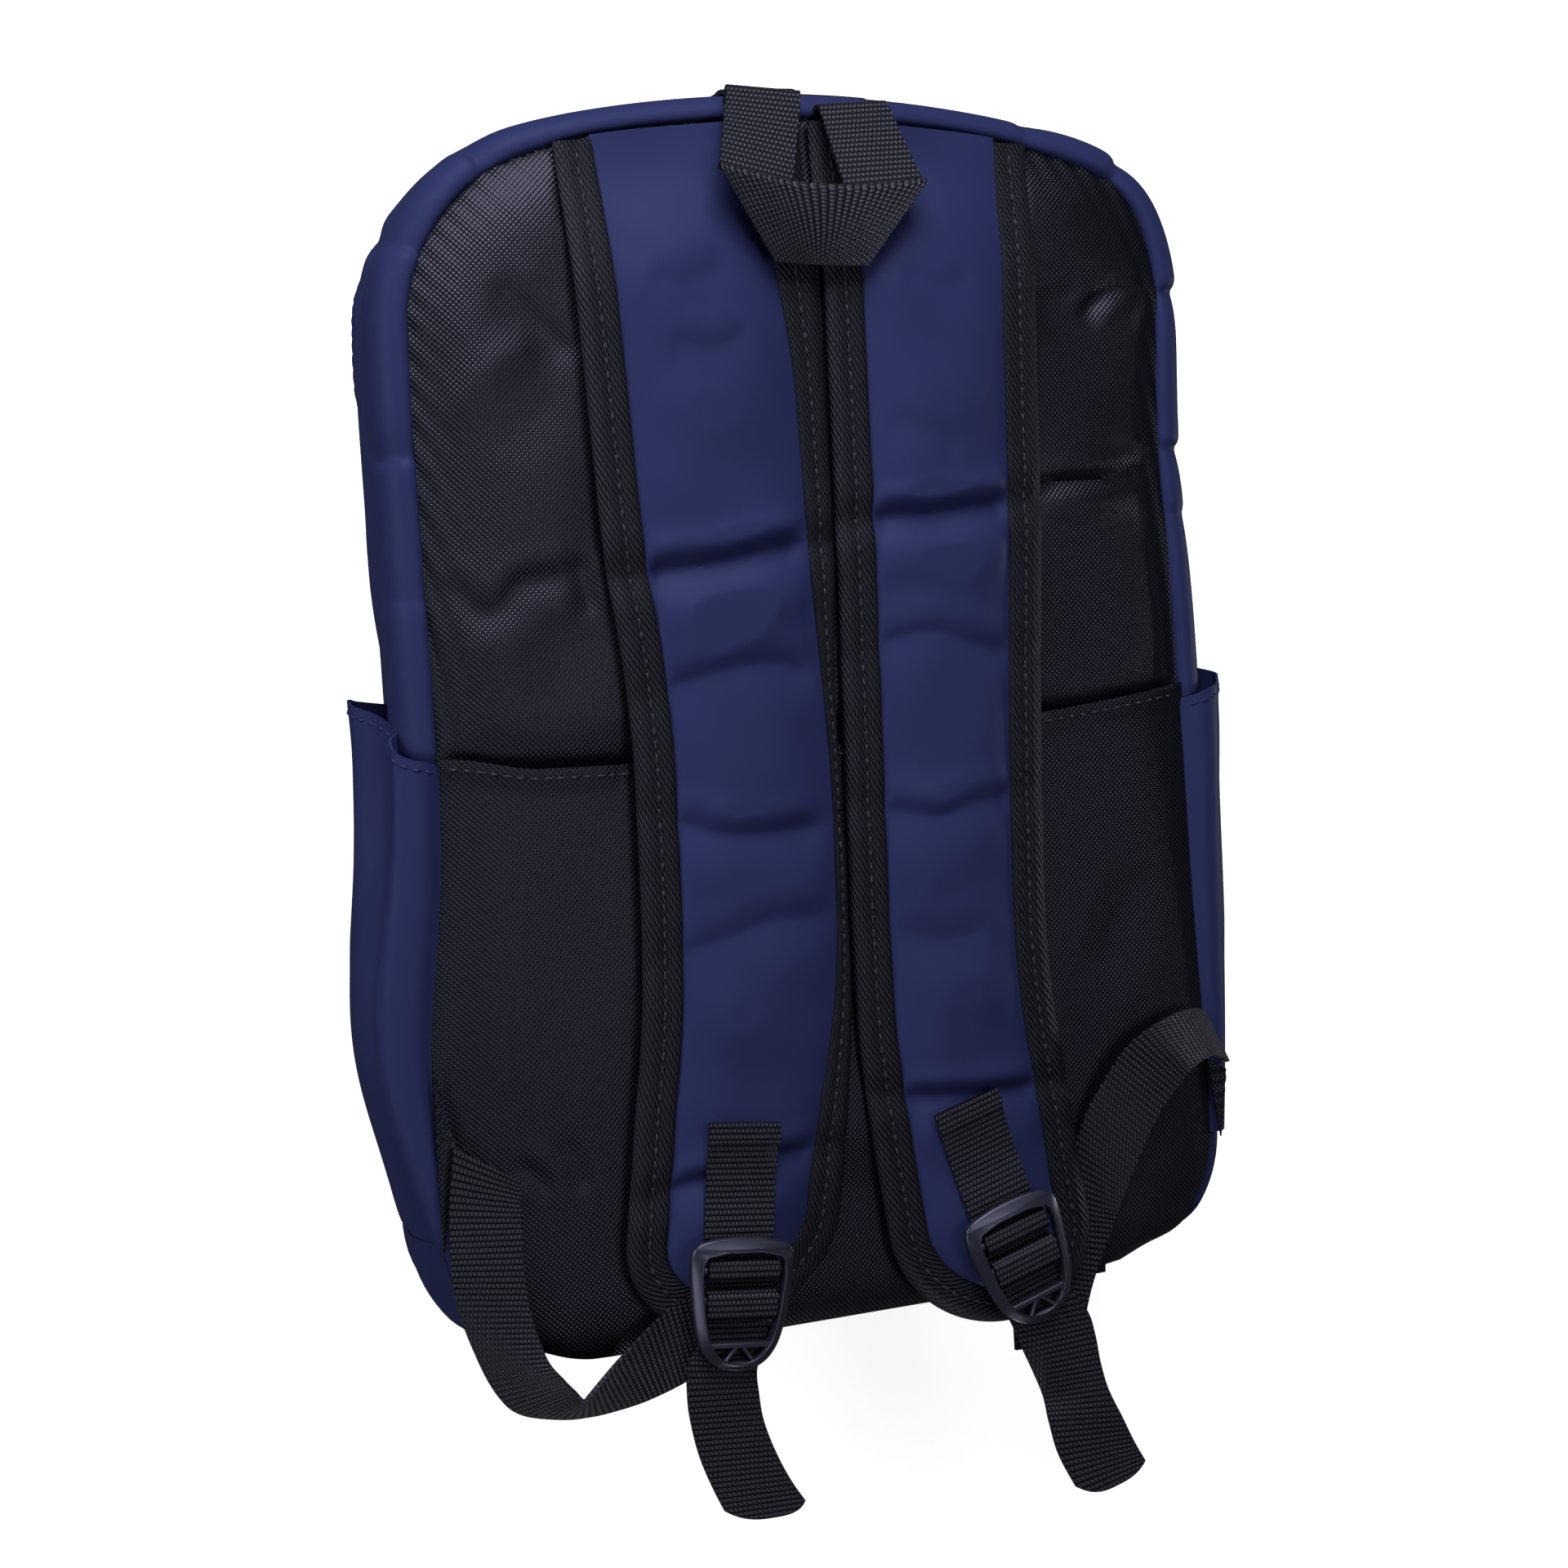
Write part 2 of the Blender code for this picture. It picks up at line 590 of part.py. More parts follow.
def build_side_pocket(side, sign, shell):
    """A pocket that stands off the side panel at its hem and closes towards its base."""
    base = BODY_WIDTH / 2 + GAP
    low = SHELL_Z + SIDE_POCKET_MARGIN
    high = SHELL_TOP_Z - SIDE_POCKET_MARGIN
    spread = [0.0, 0.08, 0.25, 0.5, 0.75, 0.92, 1.0]
    sections = []
    for share in (0.0, 0.15, 0.4, 0.7, 0.9, 1.0):
        y = BASE_Y + SIDE_POCKET_RISE + (SIDE_POCKET_FOOT - SIDE_POCKET_RISE) * share
        bulge = SIDE_POCKET_BULGE * math.sqrt(1.0 - share ** 2)
        outer = []
        inner = []
        for s in spread:
            swell = math.sin(math.pi * s) ** 0.5
            outer.append((sign * (base + SIDE_POCKET_CLOTH + bulge * swell), y, low + (high - low) * s))
            inner_low = low + SIDE_POCKET_CLOTH
            inner_high = high - SIDE_POCKET_CLOTH
            inner.append((sign * (base + bulge * swell), y, inner_low + (inner_high - inner_low) * s))
        foot = [(sign * base, y, high), (sign * base, y, high - SIDE_POCKET_CLOTH)]
        head = [(sign * base, y, low + SIDE_POCKET_CLOTH), (sign * base, y, low)]
        sections.append(outer + foot + inner[::-1][1:-1] + head)
    loft(f"{side}_side_pocket", sections, "navy_coated_cloth", shell)


# Shoulder straps

def follow(route, y):
    """Place across, at y, of the smooth curve through a route's points."""
    points = [(x, BASE_Y + rise) for x, rise in route]
    last = len(points) - 1
    i = 0
    while i < last - 1 and y < points[i + 1][1]:
        i += 1
    slopes = []
    for j in (i, i + 1):
        before = points[max(j - 1, 0)]
        after = points[min(j + 1, last)]
        slopes.append((after[0] - before[0]) / (after[1] - before[1]))
    (x0, y0), (x1, y1) = points[i], points[i + 1]
    run = y1 - y0
    t = (y - y0) / run
    return (
        x0 * (2 * t ** 3 - 3 * t ** 2 + 1) + slopes[0] * run * (t ** 3 - 2 * t ** 2 + t)
        + x1 * (-2 * t ** 3 + 3 * t ** 2) + slopes[1] * run * (t ** 3 - t ** 2)
    )


def strap_floor(y):
    """Underside of a strap: level over the back, then down into the top seam."""
    if y <= STRAP_DIP_Y:
        return STRAP_Z
    share = (y - STRAP_DIP_Y) / (STRAP_TOP_Y - STRAP_DIP_Y)
    ease = share * share * (3 - 2 * share)
    return STRAP_Z + (STRAP_SEAM_Z - STRAP_Z) * ease


def strap_rise(y, creases):
    """Thickness of a strap's pad at its middle: thin at the top seam and pressed in at its creases."""
    rise = STRAP_CROWN
    if y > STRAP_DIP_Y:
        share = (y - STRAP_DIP_Y) / (STRAP_TOP_Y - STRAP_DIP_Y)
        rise += (STRAP_SEAM_THICK - STRAP_CROWN) * share
    for crease in creases:
        rise -= STRAP_CREASE_DEPTH * math.exp(-((y - crease) / (STRAP_CREASE_RUN / 2)) ** 2)
    return rise


def pad_section(y, middle, half, creases):
    floor = strap_floor(y)
    rise = strap_rise(y, creases)
    edge = min(STRAP_EDGE, rise)
    points = [(middle + half, y, floor), (middle - half, y, floor)]
    for u in (-1.0, -0.7, 0.0, 0.7, 1.0):
        points.append((middle + half * u, y, floor + edge + (rise - edge) * (1 - u * u)))
    return points


def rail_section(y, near, far):
    floor = strap_floor(y)
    rise = min(BINDING_THICK, strap_rise(y, []))
    return [(near, y, floor), (far, y, floor), (far, y, floor + rise), (near, y, floor + rise)]


def strap_stations(start, end, creases):
    """Heights along a strap: an even spread, with three at each crease."""
    count = max(2, round((start - end) / STRAP_ROW_PITCH))
    rows = [start + (end - start) * i / count for i in range(count + 1)]
    for crease in creases:
        near = [crease - STRAP_CREASE_RUN, crease, crease + STRAP_CREASE_RUN]
        if start > near[2] and near[0] > end:
            clear = STRAP_CREASE_RUN * 1.5
            rows = [y for y in rows if abs(y - crease) > clear or y in (start, end)] + near
    return sorted(rows, reverse=True)


def build_upper_strap(side, strap, shell):
    """The part of a strap above its fold, which stays with the shell."""
    half = STRAP_WIDTH / 2
    pad = half - BINDING_WIDTH - GAP
    rows = strap_stations(STRAP_TOP_Y, BASE_Y + strap["fold_rise"] + GAP / 2, [])
    middles = [follow(strap["route"], y) for y in rows]
    sections = [pad_section(y, x, pad, []) for y, x in zip(rows, middles)]
    loft(f"{side}_strap_upper", sections, "navy_coated_cloth", shell)
    for edge, sign in (("left", -1), ("right", 1)):
        near = sign * (half - BINDING_WIDTH)
        far = sign * half
        rails = [rail_section(y, x + near, x + far) for y, x in zip(rows, middles)]
        loft(f"{side}_strap_upper_{edge}_binding", rails, "black_twill_tape", shell)


def strap_loop(strap, rows, inset):
    """The strap's edge below its fold, drawn in by inset: down one side, round the end and up the other."""
    half = STRAP_WIDTH / 2 - inset
    turn_y = rows[-1]
    middle = follow(strap["route"], turn_y)
    down = [(follow(strap["route"], y) - half, y) for y in rows]
    up = [(follow(strap["route"], y) + half, y) for y in reversed(rows)]
    lean = strap["route"][-1][0] - middle
    end = []
    for i in range(1, END_STEPS):
        angle = math.pi * (1 + i / END_STEPS)
        reach = -math.sin(angle)
        end.append((middle + half * math.cos(angle) + lean * reach, turn_y - (STRAP_END - inset) * reach))
    return down + end + up


def build_lower_strap(side, strap, body):
    """The part of a strap below its fold, with its binding round the end."""
    turn_y = BASE_Y + strap["route"][-1][1] + STRAP_END
    start = BASE_Y + strap["fold_rise"] - GAP / 2
    creases = [BASE_Y + rise for rise in strap["crease_rises"]]
    rows = strap_stations(start, turn_y, creases)
    outer = strap_loop(strap, rows, 0.0)
    inner = strap_loop(strap, rows, BINDING_WIDTH)
    sections = []
    for (ox, oy), (ix, iy) in zip(outer, inner):
        low = STRAP_Z
        high = STRAP_Z + BINDING_THICK
        sections.append([(ox, oy, low), (ix, iy, low), (ix, iy, high), (ox, oy, high)])
    loft(f"{side}_strap_binding", sections, "black_twill_tape", body)

    margin = BINDING_WIDTH + GAP
    half = STRAP_WIDTH / 2 - margin
    sections = [pad_section(y, follow(strap["route"], y), half, creases) for y in rows]
    middle = follow(strap["route"], turn_y)
    lean = strap["route"][-1][0] - middle
    for share in (0.35, 0.65, 0.87, 0.97):
        y = turn_y - (STRAP_END - margin) * share
        sections.append(pad_section(y, middle + lean * share, half * math.sqrt(1 - share ** 2), creases))
    loft(f"{side}_strap_pad", sections, "navy_coated_cloth", body)


# Webbing

def ribbon(name, points, acrosses, surface, body):
    """A flat band along points. Each across vector lies along the band's width there."""
    count = len(points)
    sections = []
    for i, point in enumerate(points):
        along = Vector(points[min(i + 1, count - 1)]) - Vector(points[max(i - 1, 0)])
        side = Vector(acrosses[i]).normalized()
        up = side.cross(along).normalized() * (WEBBING_THICK / 2)
        side = side * (WEBBING_WIDTH / 2)
        centre = Vector(point)
        sections.append([centre - side - up, centre + side - up, centre + side + up, centre - side + up])
    return loft(name, sections, surface, body)


def level_acrosses(points):
    """Width directions of a band that turns flat on the bag."""
    count = len(points)
    acrosses = []
    for i in range(count):
        along = Vector(points[min(i + 1, count - 1)]) - Vector(points[max(i - 1, 0)])
        acrosses.append(Vector((-along.y, along.x, 0.0)))
    return acrosses


def on_bag(points):
    return [Vector((x, BASE_Y + rise)) for x, rise in points]


def refine(points, steps):
    """A smooth curve through hand-set points."""
    dense = []
    last = len(points) - 1
    for i in range(last):
        p0, p1 = Vector(points[max(i - 1, 0)]), Vector(points[i])
        p2, p3 = Vector(points[i + 1]), Vector(points[min(i + 2, last)])
        for k in range(steps):
            t = k / steps
            dense.append(
                0.5 * (2 * p1 + (p2 - p0) * t + (2 * p0 - 5 * p1 + 4 * p2 - p3) * t * t
                       + (3 * p1 - p0 - 3 * p2 + p3) * t ** 3)
            )
    dense.append(Vector(points[last]))
    return dense


def buckle_axes(strap):
    """Right and up along a buckle, seen from above."""
    lean = math.radians(strap["buckle_lean"])
    right = Vector((math.cos(lean), math.sin(lean), 0.0))
    up = Vector((-math.sin(lean), math.cos(lean), 0.0))
    return right, up


def on_buckle(strap, u, v, z):
    """A point in the bag's frame, from its place across, along and above the underside of a buckle."""
    right, up = buckle_axes(strap)
    x, rise = strap["buckle"]
    return Vector((x, BASE_Y + rise, BUCKLE_Z + z)) + right * u + up * v


def build_anchor_webbing(side, strap, body):
    """Sewn to the strap's end, and wrapped over the buckle's anchor bar."""
    lie = -BUCKLE_CLEARANCE - WEBBING_THICK / 2
    over = BUCKLE_BAR_THICK + WRAP_PLAY + WEBBING_THICK / 2
    aside = ANCHOR_BAR_WIDTH / 2 + WRAP_PLAY + WEBBING_THICK / 2
    bar = ANCHOR_BAR_V
    path = [
        (strap["anchor_length"], lie),
        (bar + aside * 2.9, lie),
        (bar + aside * 1.5, lie * 0.62),
        (bar + aside * 1.15, 0.3 * BUCKLE_BAR_THICK),
        (bar + aside * 0.88, over * 0.90),
        (bar, over),
        (bar - aside * 0.88, over * 0.90),
        (bar - aside * 1.08, 0.4 * BUCKLE_BAR_THICK),
        (bar - aside * 0.95, -WEBBING_THICK * 0.4),
    ]
    points = [on_buckle(strap, 0.0, v, z) for v, z in path]
    right, _ = buckle_axes(strap)
    ribbon(f"{side}_anchor_webbing", points, [-right] * len(points), "black_webbing", body)


def build_tail_webbing(side, strap, body):
    """Up through the buckle, over its ladder bar, down behind the grip and out as the free tail."""
    over = BUCKLE_BAR_THICK + WRAP_PLAY + WEBBING_THICK / 2
    aside = LADDER_BAR_WIDTH / 2 + WRAP_PLAY + WEBBING_THICK / 2
    under = -GAP - WEBBING_THICK / 2
    bar = LADDER_BAR_V
    path = [
        (bar + aside + WRAP_LEAD, under * 2.0),
        (bar + aside + WRAP_SPREAD, 0.0),
        (bar + aside * 0.96, over * 0.82),
        (bar + aside * 0.55, over),
        (bar - aside * 0.55, over),
        (bar - aside * 0.96, over * 0.82),
        (bar - aside - WRAP_SPREAD, 0.0),
        (bar - aside - WRAP_TRAIL, under * 1.3),
        (GRIP_TOP_V - GRIP_OVERLAP, under * 1.5),
        (-BUCKLE_LENGTH / 2 + GRIP_OVERLAP, under * 1.5),
    ]
    points = [on_buckle(strap, 0.0, v, z) for v, z in path]
    leave = points[-1]
    route = [Vector((leave.x, leave.y))] + on_bag(strap["tail"])
    for point in refine(route, 3)[1:]:
        points.append(Vector((point.x, point.y, leave.z)))
    ribbon(f"{side}_tail_webbing", points, level_acrosses(points), "black_webbing", body)


def build_lower_webbing(side, strap, shell):
    """From the tab in the side seam to the buckle, with some slack in a loop past the base."""
    route = refine(on_bag(strap["webbing"]), 3)
    start = BACK_POCKET_Z + GAP + TAB_THICK + GAP + WEBBING_THICK / 2
    level = BACK_POCKET_Z + GAP + WEBBING_THICK / 2
    end = STRAP_Z + BINDING_THICK + GAP + WEBBING_THICK / 2 if strap["webbing_over"] else level
    points = []
    last = len(route) - 1
    for i, point in enumerate(route):
        ease = min(1.0, max(0.0, (i / last - WEBBING_LEVEL_SHARE) / WEBBING_EASE_SHARE))
        points.append(Vector((point.x, point.y, start + (end - start) * ease)))
    ribbon(f"{side}_lower_webbing", points, level_acrosses(points), "black_webbing", shell)


def build_tab(side, sign, strap, shell):
    """A triangle of cloth whose long edge is caught in the side seam."""
    seam = BODY_WIDTH / 2 - EDGE_ROLL_WIDTH - BACK_POCKET_SEAM
    insets = (0.0, 0.0, strap["tab_reach"])
    corners = [(sign * (seam - inset), BASE_Y + rise) for inset, rise in zip(insets, strap["tab_rises"])]
    low = BACK_POCKET_Z + GAP
    sections = [at_height(corners, low), at_height(corners, low + TAB_THICK)]
    loft(f"{side}_webbing_tab", sections, "black_oxford_cloth", shell)


# Buckles

def buckle_outline(strap, inset, z):
    """Egg-shaped frame: a bowed head, sides that draw in, and a round foot."""
    half = BUCKLE_WIDTH / 2 - inset
    reach = BUCKLE_LENGTH / 2 - inset
    shoulder = BUCKLE_SHOULDER * reach
    points = []
    for i in range(HEAD_STEPS + 1):
        u = BUCKLE_HEAD_SPAN * (2 * i / HEAD_STEPS - 1)
        points.append((half * u, reach * (1.0 - BUCKLE_HEAD_DROP * u * u)))
    sweep = 180 + 2 * BUCKLE_SHOULDER_ANGLE
    for i in range(FOOT_STEPS + 1):
        angle = math.radians(BUCKLE_SHOULDER_ANGLE - sweep * i / FOOT_STEPS)
        drop = (reach + shoulder) if math.sin(angle) < 0 else (reach - shoulder)
        u = math.copysign(abs(math.cos(angle)) ** BUCKLE_FULLNESS, math.cos(angle))
        points.append((half * u, shoulder + drop * math.sin(angle)))
    return [on_buckle(strap, u, v, z) for u, v in points]


def prism(strap, corners, low, high):
    return [[on_buckle(strap, u, v, z) for u, v in corners] for z in (low, high)]


def build_buckle(side, strap, body):
    rim = BUCKLE_RIM
    sections = [
        buckle_outline(strap, rim * 0.4, 0.0),
        buckle_outline(strap, 0.0, rim),
        buckle_outline(strap, 0.0, BUCKLE_HEIGHT - rim),
        buckle_outline(strap, rim, BUCKLE_HEIGHT),
    ]
    buckle = loft(f"{side}_buckle", sections, "black_moulded_plastic", body)
    half = BUCKLE_WINDOW / 2
    top = BUCKLE_LENGTH / 2 - BUCKLE_TOP_RIM
    past = BUCKLE_HEIGHT
    wide = half + GAP
    low = GRIP_TOP_V - GAP
    recess = [(-wide, low), (wide, low), (wide, top - BUCKLE_BOW), (0.0, top), (-wide, top - BUCKLE_BOW)]
    cut(buckle, f"{side}_buckle_recess", prism(strap, recess, BUCKLE_BAR_THICK, BUCKLE_HEIGHT + past))
    slots = [
        (ANCHOR_BAR_V + ANCHOR_BAR_WIDTH / 2, top - BUCKLE_BOW - GAP),
        (LADDER_BAR_V + LADDER_BAR_WIDTH / 2, ANCHOR_BAR_V - ANCHOR_BAR_WIDTH / 2),
        (GRIP_TOP_V, LADDER_BAR_V - LADDER_BAR_WIDTH / 2),
    ]
    for index, (low, high) in enumerate(slots, 1):
        corners = [(-half, low), (half, low), (half, high), (-half, high)]
        cut(buckle, f"{side}_buckle_slot_{index}", prism(strap, corners, -past, BUCKLE_HEIGHT + past))
    foot = -BUCKLE_LENGTH / 2 + GRIP_WINDOW_FOOT
    head = GRIP_TOP_V - GRIP_WINDOW_HEAD
    near, tip, far = GRIP_SIDE_WINDOW
    tip_v = foot + GRIP_SIDE_WINDOW_RISE
    windows = [
        [(-GRIP_WINDOW_HALF, foot), (GRIP_WINDOW_HALF, foot), (0.0, head)],
        [(-far, head), (-near, head), (-tip, tip_v)],
        [(near, head), (far, head), (tip, tip_v)],
    ]
    for index, corners in enumerate(windows, 1):
        cut(buckle, f"{side}_buckle_window_{index}", prism(strap, corners, -past, BUCKLE_HEIGHT + past))


# Grab handle

def build_handle_anchors(shell):
    """Ends of the handle's webbing, sewn to the top gusset just behind the seam."""
    low = SHELL_TOP_Z - HANDLE_ANCHOR_DEPTH
    high = HANDLE_PIVOT_Z - HANDLE_THICK / 2 - GAP
    near = TOP_Y + GAP
    far = near + HANDLE_ANCHOR_THICK
    for side, (x0, x1) in zip(("left", "right"), HANDLE_LEG_TOPS):
        ends = [[(x, near, low), (x, far, low), (x, far, high), (x, near, high)] for x in (x0, x1)]
        loft(f"{side}_handle_anchor", ends, "black_webbing", shell)


def handle_height(y):
    """The handle climbs from its turn at the seam to the band that lies over the straps."""
    climb = HANDLE_PIVOT_Y - TOP_Y + HANDLE_BAND_TOP[0][1]
    share = min(1.0, (HANDLE_PIVOT_Y - y) / climb)
    return HANDLE_PIVOT_Z + (HANDLE_Z - HANDLE_PIVOT_Z) * share


def build_handle(body):
    """Two legs and the band between them, as one folded sheet of webbing."""
    bend_y = TOP_Y - HANDLE_BEND_DROP
    rows = [
        [(x, HANDLE_PIVOT_Y) for span in HANDLE_LEG_TOPS for x in span],
        [(x, bend_y) for span in HANDLE_LEG_BENDS for x in span],
        [(x, TOP_Y - drop) for x, drop in HANDLE_BAND_TOP],
        [(x, TOP_Y - drop) for x, drop in HANDLE_BAND_BASE],
    ]
    verts = [(x, y, handle_height(y)) for row in rows for x, y in row]
    faces = []
    for i in range(len(rows) - 1):
        for k in range(3):
            if i < 2 and k == 1:
                continue
            a = i * 4 + k
            faces.append((a, a + 4, a + 5, a + 1))
    mesh = bpy.data.meshes.new("grab_handle")
    mesh.from_pydata(verts, [], faces)
    obj = bpy.data.objects.new("grab_handle", mesh)
    bpy.context.collection.objects.link(obj)
    obj.data.materials.append(material("black_webbing"))
    obj.parent = body
    obj.location = -Vector(body["pivot"])
    thick = obj.modifiers.new("webbing", "SOLIDIFY")
    thick.thickness = HANDLE_THICK
    thick.offset = 0.0


def build():
    clear_scene()
    build_front()
    build_pocket_slider()
    for side, sign in (("left", -1), ("right", 1)):
        build_main_zip_slider(side, sign)

    shell = moving_body("main_opening", (0.0, BASE_Y, ZIP_Z))
    build_shell(shell)
    build_back_pocket(shell)
    build_handle_anchors(shell)
    build_handle(moving_body("handle_swing", (0.0, HANDLE_PIVOT_Y, HANDLE_PIVOT_Z), shell))

    for side, sign in (("left", -1), ("right", 1)):
        strap = STRAPS[side]
        build_side_pocket(side, sign, shell)
        build_tab(side, sign, strap, shell)
        build_lower_webbing(side, strap, shell)
        build_upper_strap(side, strap, shell)
        fold = (0.0, BASE_Y + strap["fold_rise"], STRAP_TOP_Z)
        lift = moving_body(f"{side}_strap_lift", fold, shell)
        build_lower_strap(side, strap, lift)
        build_anchor_webbing(side, strap, lift)
        hinge = on_buckle(strap, 0.0, ANCHOR_BAR_V, BUCKLE_BAR_THICK / 2)
        tilt = moving_body(f"{side}_buckle_tilt", hinge, lift)
        build_buckle(side, strap, tilt)
        build_tail_webbing(side, strap, tilt)


build()
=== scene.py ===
# %% [markdown]
# # A school backpack, lying on its front
#
# The frame below is the imported model of the bag: plain solids on the bodies that move. This lesson
# dresses that frame. Nearly every piece of a backpack is cloth, webbing or padding, so most pieces
# start as a grid of squares that is laid where the cloth lies, and only the buckles and zip parts
# are modelled as hard goods.
#
# The first cell loads the frame, with a helper that reads a part's box from it. The dressed bag may
# not outgrow it.

# %% Load the frame
import math

import bpy
import numpy as np
from mathutils import Matrix, Vector


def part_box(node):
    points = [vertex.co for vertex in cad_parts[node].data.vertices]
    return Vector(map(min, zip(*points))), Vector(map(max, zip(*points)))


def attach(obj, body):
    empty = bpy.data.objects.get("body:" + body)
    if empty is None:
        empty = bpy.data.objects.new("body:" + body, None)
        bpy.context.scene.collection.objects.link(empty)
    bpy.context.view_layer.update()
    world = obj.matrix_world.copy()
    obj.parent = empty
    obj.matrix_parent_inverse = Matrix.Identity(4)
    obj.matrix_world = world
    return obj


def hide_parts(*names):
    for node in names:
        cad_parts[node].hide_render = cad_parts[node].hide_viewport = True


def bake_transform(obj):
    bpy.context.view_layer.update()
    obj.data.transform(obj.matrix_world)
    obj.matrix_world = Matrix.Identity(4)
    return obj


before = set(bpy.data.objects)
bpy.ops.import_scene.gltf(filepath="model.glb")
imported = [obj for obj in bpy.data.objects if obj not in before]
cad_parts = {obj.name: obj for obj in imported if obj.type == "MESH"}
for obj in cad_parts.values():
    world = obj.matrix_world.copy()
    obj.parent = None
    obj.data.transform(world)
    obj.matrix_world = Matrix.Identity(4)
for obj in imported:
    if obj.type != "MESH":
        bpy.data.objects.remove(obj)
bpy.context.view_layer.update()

# %% [markdown]
# ## Camera
#
# The photograph looks at the back panel from a little to its left, with the camera tipped. A camera
# could be placed by eye, but here its turn, lift, roll and distance were measured from the seams, so
# they are set as numbers and turned into three axes.

# %% Camera
AIM = Vector((-0.0173, -0.0187, 0.130))
TURN = math.radians(-20.42)
LIFT = math.radians(4.07)
ROLL = math.radians(-3.62)
DISTANCE = 0.866
LENS, SENSOR = 56.96, 36.0

back = Vector((math.sin(TURN) * math.cos(LIFT), math.sin(LIFT), math.cos(TURN) * math.cos(LIFT)))
level = Vector((0.0, 1.0, 0.0)).cross(back).normalized()
rise = back.cross(level)
right = level * math.cos(ROLL) + rise * math.sin(ROLL)
up = rise * math.cos(ROLL) - level * math.sin(ROLL)
turned = Matrix((right, up, back)).transposed().to_4x4()
bpy.ops.object.camera_add()
camera = bpy.context.object
camera.matrix_world = Matrix.Translation(AIM + back * DISTANCE) @ turned
camera.data.lens = LENS
camera.data.sensor_width = SENSOR
bpy.context.scene.camera = camera
print("camera at", [round(x, 3) for x in camera.matrix_world.translation])

# %% [markdown]
# ## Floor and light
#
# The bag lies on a pale floor under soft boxes, as in a studio. A large box beyond the bag's top gives
# the cloth its fall-off, one overhead gives the black cloth its sheen, and weaker, low ones light the
# sides. The floor sweeps up far behind the bag, so that low views have a pale ground too. It glows a
# little, like a light table, and is left out of bounced light and reflections, which would wash out
# the cloth.

# %% Floor and light
SOFT_BOXES = [
    ("key", (-0.14, 0.80, 0.66), 0.6, 8.8),
    ("top", (0.16, -0.08, 1.30), 0.40, 2.2),
    ("left", (-0.90, -0.42, 0.60), 0.35, 1.4),
    ("shoulder", (-0.95, 0.30, 0.40), 0.35, 3.0),
    ("right", (1.30, -0.05, 0.08), 0.15, 2.0),
    ("base", (0.10, -1.40, 0.08), 0.15, 2.0),
]
FLOOR_SIZE, FLOOR_DROP = 16.0, 0.0006
SWEEP_FROM, SWEEP_RISE = 3.5, 0.16


def srgb(code):
    """Linear colour, with alpha, of an sRGB hex value."""
    parts = [int(code[i:i + 2], 16) / 255 for i in (1, 3, 5)]
    return [c / 12.92 if c <= 0.04045 else ((c + 0.055) / 1.055) ** 2.4 for c in parts] + [1.0]


def add_node(tree, kind, inputs=None, **settings):
    """One node, with its settings, and with values or other nodes' outputs on its inputs."""
    made = tree.nodes.new(kind)
    for name, value in settings.items():
        setattr(made, name, value)
    for key, value in (inputs or {}).items():
        if isinstance(value, bpy.types.NodeSocket):
            tree.links.new(value, made.inputs[key])
        else:
            made.inputs[key].default_value = value
    return made


for name, place, size, power in SOFT_BOXES:
    bpy.ops.object.light_add(type="AREA", location=place)
    light = bpy.context.object
    light.name = f"soft_box_{name}"
    light.rotation_euler = (AIM - Vector(place)).to_track_quat("-Z", "Y").to_euler()
    light.data.size = size
    light.data.energy = power

world = bpy.data.worlds.new("studio")
world.use_nodes = True
sky = world.node_tree.nodes["Background"]
sky.inputs["Color"].default_value = srgb("#F4F6FA")
sky.inputs["Strength"].default_value = 0.065
bpy.context.scene.world = world
bpy.context.scene.view_settings.view_transform = "Standard"

bpy.ops.object.select_all(action="DESELECT")
bpy.ops.mesh.primitive_grid_add(x_subdivisions=60, y_subdivisions=60, size=FLOOR_SIZE)
floor = bpy.context.object
floor.name = "floor"
for vertex in floor.data.vertices:
    away = max(0.0, math.hypot(vertex.co.x, vertex.co.y) - SWEEP_FROM)
    vertex.co.z = SWEEP_RISE * away ** 2 - FLOOR_DROP
bpy.ops.object.shade_smooth()
floor_paint = bpy.data.materials.new("pale_floor_paint")
floor_paint.use_nodes = True
floor_shader = floor_paint.node_tree.nodes["Principled BSDF"]
for socket, value in (
    ("Base Color", srgb("#E4E4E4")), ("Roughness", 0.85),
    ("Emission Color", srgb("#FFFFFF")), ("Emission Strength", 0.80),
):
    floor_shader.inputs[socket].default_value = value
floor.data.materials.append(floor_paint)
floor.visible_diffuse = False
floor.visible_glossy = False
print(len(SOFT_BOXES), "soft boxes")

# %% [markdown]
# ## The bag's outline
#
# Every sewn panel follows one outline: a flat base, rounded corners, straight sides and an arched
# top. It could be drawn as a curve, but a table of points with their outward directions is easier to
# hang cloth on. A stuffed bag also stands out a little from its pattern, low on the left and at the
# right shoulder.

# %% The bag's outline
BASE_Y, TOP_Y = -0.214, 0.214
HALF_WIDTH = 0.146
BASE_CORNER, TOP_CORNER = 0.050, 0.062
ARCH_RADIUS = 0.450
ARCH_Y = TOP_Y - ARCH_RADIUS
BASE_FLAT = HALF_WIDTH - BASE_CORNER
SIDE_START = BASE_FLAT + BASE_CORNER * math.pi / 2
SIDE_SPLIT = SIDE_START + 0.184
SIDE_FOOT = BASE_Y + BASE_CORNER
EDGE_STEP = 0.0015


def smooth_step(low, high, value):
    share = np.clip((value - low) / (high - low), 0.0, 1.0)
    return share * share * (3 - 2 * share)


def distances(points):
    """Running length along a line of points."""
    return np.concatenate(([0.0], np.cumsum(np.linalg.norm(np.diff(points, axis=0), axis=1))))


